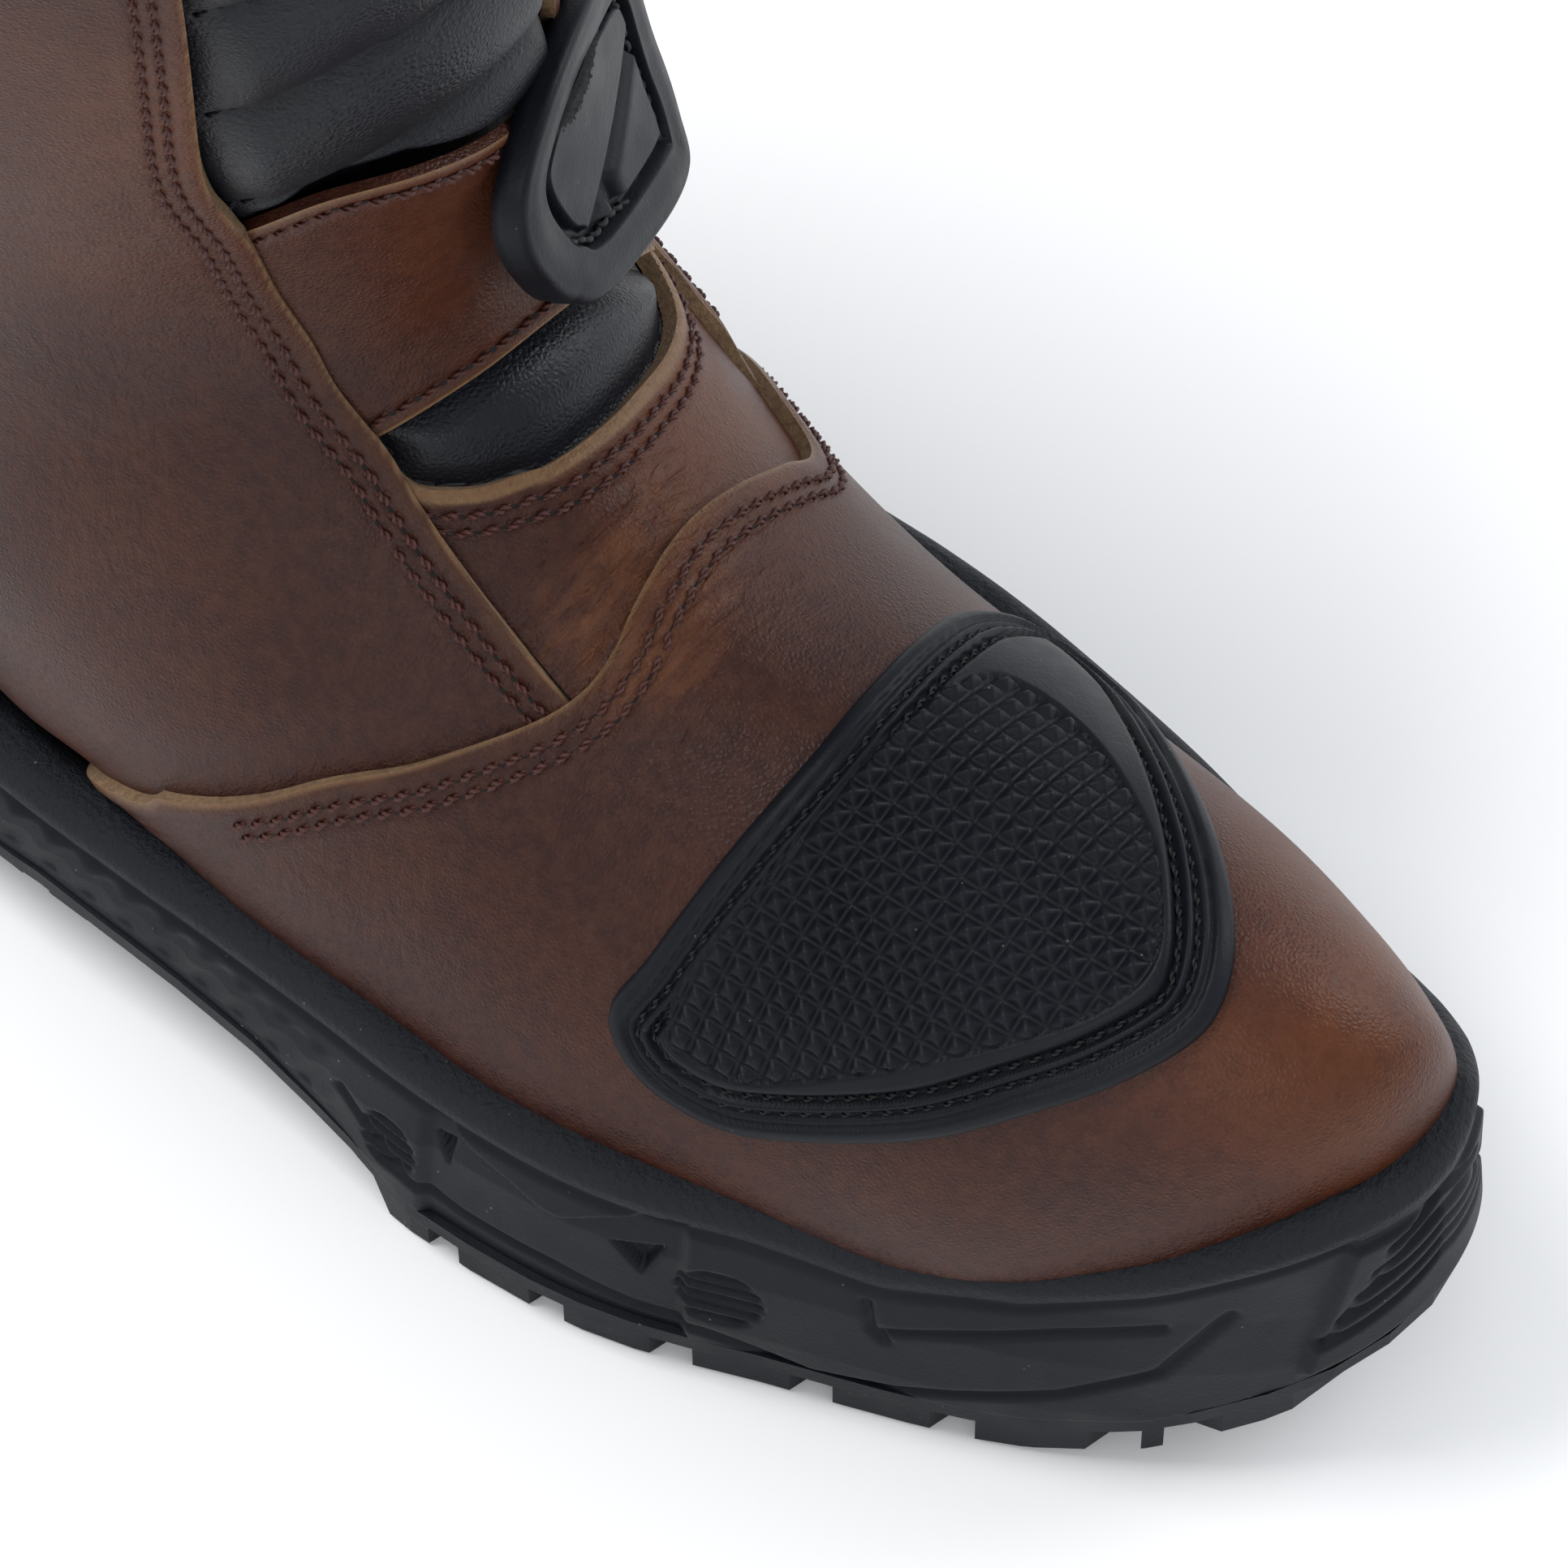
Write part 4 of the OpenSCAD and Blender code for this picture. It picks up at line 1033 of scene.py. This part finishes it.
faces = np.stack([index[i, j], index[i + 1, j], index[i + 1, j + 1], index[i, j + 1]], -1)
points = top[used]
sizes = 420
edges = np.array([0.0, 0.1, 0.35, 0.8, 1.25])
ring_dir = np.roll(pad_ring, -1, 0) - np.roll(pad_ring, 1, 0)
ring_dir /= np.linalg.norm(ring_dir, axis=1, keepdims=True)
normal2 = np.stack([-ring_dir[:, 1], ring_dir[:, 0]], -1)
if polygon_distance((pad_ring + 1.0 * normal2)[:1], pad_ring)[0] < 0:
    normal2 = -normal2
bands = []
for e in edges:
    flat_ring = pad_ring + e * normal2
    bands.append(lifted(pad_surface(flat_ring), pad_profile(np.full(sizes, e), flat_ring) + 0.01))
bands.insert(0, lifted(pad_surface(pad_ring), np.full(sizes, 0.3)))
n0 = len(points)
points = np.vstack([points, *bands])
band_faces = quads(len(bands), sizes, n0, True)
turn = np.cross(bands[2][1] - bands[2][0], bands[3][0] - bands[2][0])
if turn @ normals(pad_surface(pad_ring[:1]))[0] < 0:
    band_faces = band_faces[:, ::-1]
turn = np.cross(top[101, 100] - top[100, 100], top[100, 101] - top[100, 100])
if turn @ normals(st[100:101, 100])[0] < 0:
    faces = faces[:, ::-1]
low_grid = pad_ring.mean(0) + (pad_ring[None] - pad_ring.mean(0)) * np.linspace(0.02, 1, 14)[:, None, None]
under = lifted(pad_surface(low_grid), np.full((14, sizes), 0.3)).reshape(-1, 3)
pad = make("shift_pad_rubber", np.vstack([points, under]),
           [*faces, *band_faces, *quads(14, sizes, len(points), True)], [TRIM], "boot")
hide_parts("shift_pad")
for i, e in enumerate((4.45, 6.6)):
    line = pad_surface(pad_ring + e * normal2)
    stitches(f"shift_pad_stitch_{i + 1}", line, 1.15, "boot", DARK_THREAD, 2.9, 0.24, closed=True,
             paint_hole_shade=False)

# ankle guard on the inner side
GUARD = [(9.4, 84), (10.1, 81), (10.8, 84), (11.3, 92), (11.4, 108), (11, 124), (10.3, 130), (9.6, 122), (9.1, 108),
         (9, 92)]
to_surface, to_flat = chart((10.2, 104))
ring = ring_of(to_flat(GUARD), 220)


def guard_profile(d, flat):
    h = 0.6 + np.interp(d, [0, 0.3, 1, 2.6, 3.1, 3.5, 4.0, 4.6, 6, 14],
                        [0, 0.9, 1.7, 1.9, 0.9, 0.9, 1.9, 2.0, 1.7, 2.6])
    ridge = 0.5 * bell((flat[..., 1] + 100) % 6 - 3, 0.9) * ease((d - 8) / 1.2)
    return h + ridge


guard = relief("inner_guard_rubber", ring, to_surface, guard_profile, 0.3, TRIM, "boot",
               np.linspace(0, 1, 90))
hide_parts("medial_guard")
centre = ring.mean(0)
line = to_surface(centre + (ring - centre) * 0.86)
stitches("inner_guard_stitch", np.vstack([line, line[:1]]), 1.5, "boot", DARK_THREAD, 2.9, 0.24,
         paint_hole_shade=False)


# ---------------------------------------------------------------- sole wall
SOLE_RIM = [(12, -247), (-4, -243), (-18, -231), (-30, -214), (-38, -198), (-46, -179), (-53, -163), (-57, -148),
            (-59, -128), (-58, -110), (-57, -85), (-57, -55), (-55, -25), (-50, 5), (-42, 30), (-27, 46.5), (-7, 53),
            (14, 52), (31, 43), (42, 25), (47, 0), (50, -30), (53, -60), (55.5, -90), (57, -118), (57.5, -140),
            (56, -160), (53.5, -180), (50, -197), (45, -213), (38, -229), (27, -242)]
CUP_TOP = np.array([(-260, 61), (-243, 60), (-236, 56), (-226, 49), (-212, 42), (-194, 38), (-176, 40),
                    (-126, 40.5), (-110, 39), (-80, 36.5), (-40, 36), (0, 39), (30, 45), (70, 48)], float)
MID_LOW = np.array([(-260, 31), (-246, 25), (-238, 20), (-226, 13), (-212, 10), (-195, 9), (-128, 9), (-118, 15),
                    (-100, 19), (-60, 20), (-40, 17), (-30, 12), (70, 12)], float)
COLUMNS = 1400
outline = ring_of(SOLE_RIM, COLUMNS)
perimeter = np.linalg.norm(np.roll(outline, -1, 0) - outline, axis=1).sum()
along = np.roll(outline, -1, 0) - np.roll(outline, 1, 0)
along /= np.linalg.norm(along, axis=1, keepdims=True)
inward = np.stack([along[:, 1], -along[:, 0]], -1)
lean = np.interp(outline[:, 1], [-247, -236, -205], [0.3, 0.4, 1])
reach = np.arange(COLUMNS) * perimeter / COLUMNS
top_z = np.interp(outline[:, 1], CUP_TOP[:, 0], CUP_TOP[:, 1])
low_z = np.interp(outline[:, 1], MID_LOW[:, 0], MID_LOW[:, 1])
for _ in range(12):
    top_z = (np.roll(top_z, 1) + top_z + np.roll(top_z, -1)) / 3
LEVELS = 84
t = np.linspace(0, 1, LEVELS)
z = low_z[None] + (top_z - low_z)[None] * t[:, None]
a = np.repeat(reach[None], LEVELS, 0)
mirror = np.where(a > 352, perimeter - a, a)   # both sides of the sole are moulded alike
flat = np.stack([mirror, z], -1)


def line_distance(points, line):
    best = np.full(points.shape[:-1], 1e9)
    for p, q in zip(line[:-1], line[1:]):
        p, q = np.array(p, float), np.array(q, float)
        e = q - p
        s = np.clip(((points - p) @ e) / (e @ e), 0, 1)
        best = np.minimum(best, np.linalg.norm(points - p - s[..., None] * e, axis=-1))
    return best


def groove(line, width, depth):
    return -depth * bell(line_distance(flat, line), width)


out = np.zeros(z.shape)
below = top_z[None] - z
out += -2.4 * (1 - np.sqrt(np.clip(1 - (1 - np.clip(below / 2.6, 0, 1)) ** 2, 0, 1)))   # rounded upper lip
out += 0.8 * bell(below - 3.0, 2.0) - 0.8 * bell(below - 6.2, 0.9)
out += groove([(160, 25), (148, 16), (139, 14), (124, 14), (112, 12), (102, 12), (87, 8), (75, 10), (53, 18),
               (40, 26), (31, 40)], 0.8, 1.2)
out += (groove([(80, 29), (79, 24), (77, 22)], 0.7, 1.2)
        + groove([(77, 24), (65, 28), (54, 32), (40, 36)], 0.7, 1.1))
level = np.interp(mirror, [100, 107, 116, 123, 126, 131, 138, 143, 152], [36, 36, 32, 28, 28, 30, 32, 35, 35])
middle = (mirror > 104) & (mirror < 146)
out += (np.where(middle, -1.3 * ease((level - z) / 1.2), 0)
        * ease((mirror - 104) / 2) * ease((146 - mirror) / 2))
for tri in ([(144, 30), (140.5, 30.5), (141, 23)], [(116, 26), (107, 28.5), (111, 20)]):
    out -= 2.0 * ease(polygon_distance(flat, np.array(tri, float)) / 0.9)
for cx, cz, half in ((151, 21, 5.0), (100, 21, 6.5)):
    r = np.hypot((mirror - cx) / half, (z - cz) / 6.5)
    out -= 1.5 * ease((1 - r) / 0.15) * (0.55 + 0.45 * np.cos((z - cz) * 2 * math.pi / 2.4))
rib = ease((mirror - 160) / 4) * ease((30 - z) / 2) * ease((z - low_z[None] - 2) / 1)
out += rib * 0.35 * np.cos((mirror + 0.6 * z) * 2 * math.pi / 7)
out += groove([(0, 52), (6, 49), (11, 44), (15, 39), (19, 32)], 0.9, 0.6)
bumper = (ease((below - 3.5) / 4) * ease((20 - mirror + (33 - np.minimum(z, 60)) * 0.22) / 1.2)
          * ease((z - low_z[None] - 1) / 3))
out += 1.6 * bumper
for k in range(5):
    zg = 32 + 4.6 * k
    start = 19 - 2.3 * k
    out -= 1.5 * bell(z - zg - 0.35 * (start - mirror), 0.8) * ease((start - mirror + 1) / 2)
heel = ease((mirror - 300) / 10)
for k in range(4):
    out -= heel * 0.9 * bell(z - 20 - 5 * k, 0.7)
inset = np.interp(z, [0, 14, 26, 38, 64], [0, 0, 1.2, 4.2, 7]) * lean[None]
xy = outline[None] + inward[None] * (inset - out)[..., None]
wall = np.concatenate([xy, z[..., None]], -1)
over = []
for dx, dz in ((4.2, 0.1), (6.0, -0.6), (9.0, -4.0)):
    ring_xy = outline + inward * (inset[-1] + dx)[:, None]
    over.append(np.concatenate([ring_xy, (top_z + dz)[:, None]], -1))
under = []
keel = np.stack([0.06 * outline[:, 0], np.clip(outline[:, 1], -216, 22)], -1)
for share in (0.03, 0.3, 0.7, 1.0):
    ring_xy = outline + (keel - outline) * share
    under.append(np.concatenate([ring_xy, np.interp(ring_xy[:, 1], MID_LOW[:, 0], MID_LOW[:, 1])[:, None]], -1))
rings = np.array([*under[::-1], *wall, *over])
lip = np.concatenate([np.zeros((4, COLUMNS)), ease(1 - (below - 4.2) / 1.6), np.ones((3, COLUMNS))])
faces = quads(len(rings), COLUMNS, 0, True)
sole = make("sole_wall_rubber", rings.reshape(-1, 3), faces[:, ::-1], [SOLE], "boot",
            attributes={"lip": lip})
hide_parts("midsole")



# ---------------------------------------------------------------- CAD nodes that keep their shape


def dress(node, material):
    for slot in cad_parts[node].material_slots:
        slot.material = material


for node, material in (("outsole", SOLE), ("insole_board", BOARD), ("shank", STEEL),
                       ("toe_puff", STIFF), ("heel_counter", STIFF), ("lateral_ankle_pad", FOAM),
                       ("medial_ankle_pad", FOAM), ("footbed", FOAM)):
    dress(node, material)
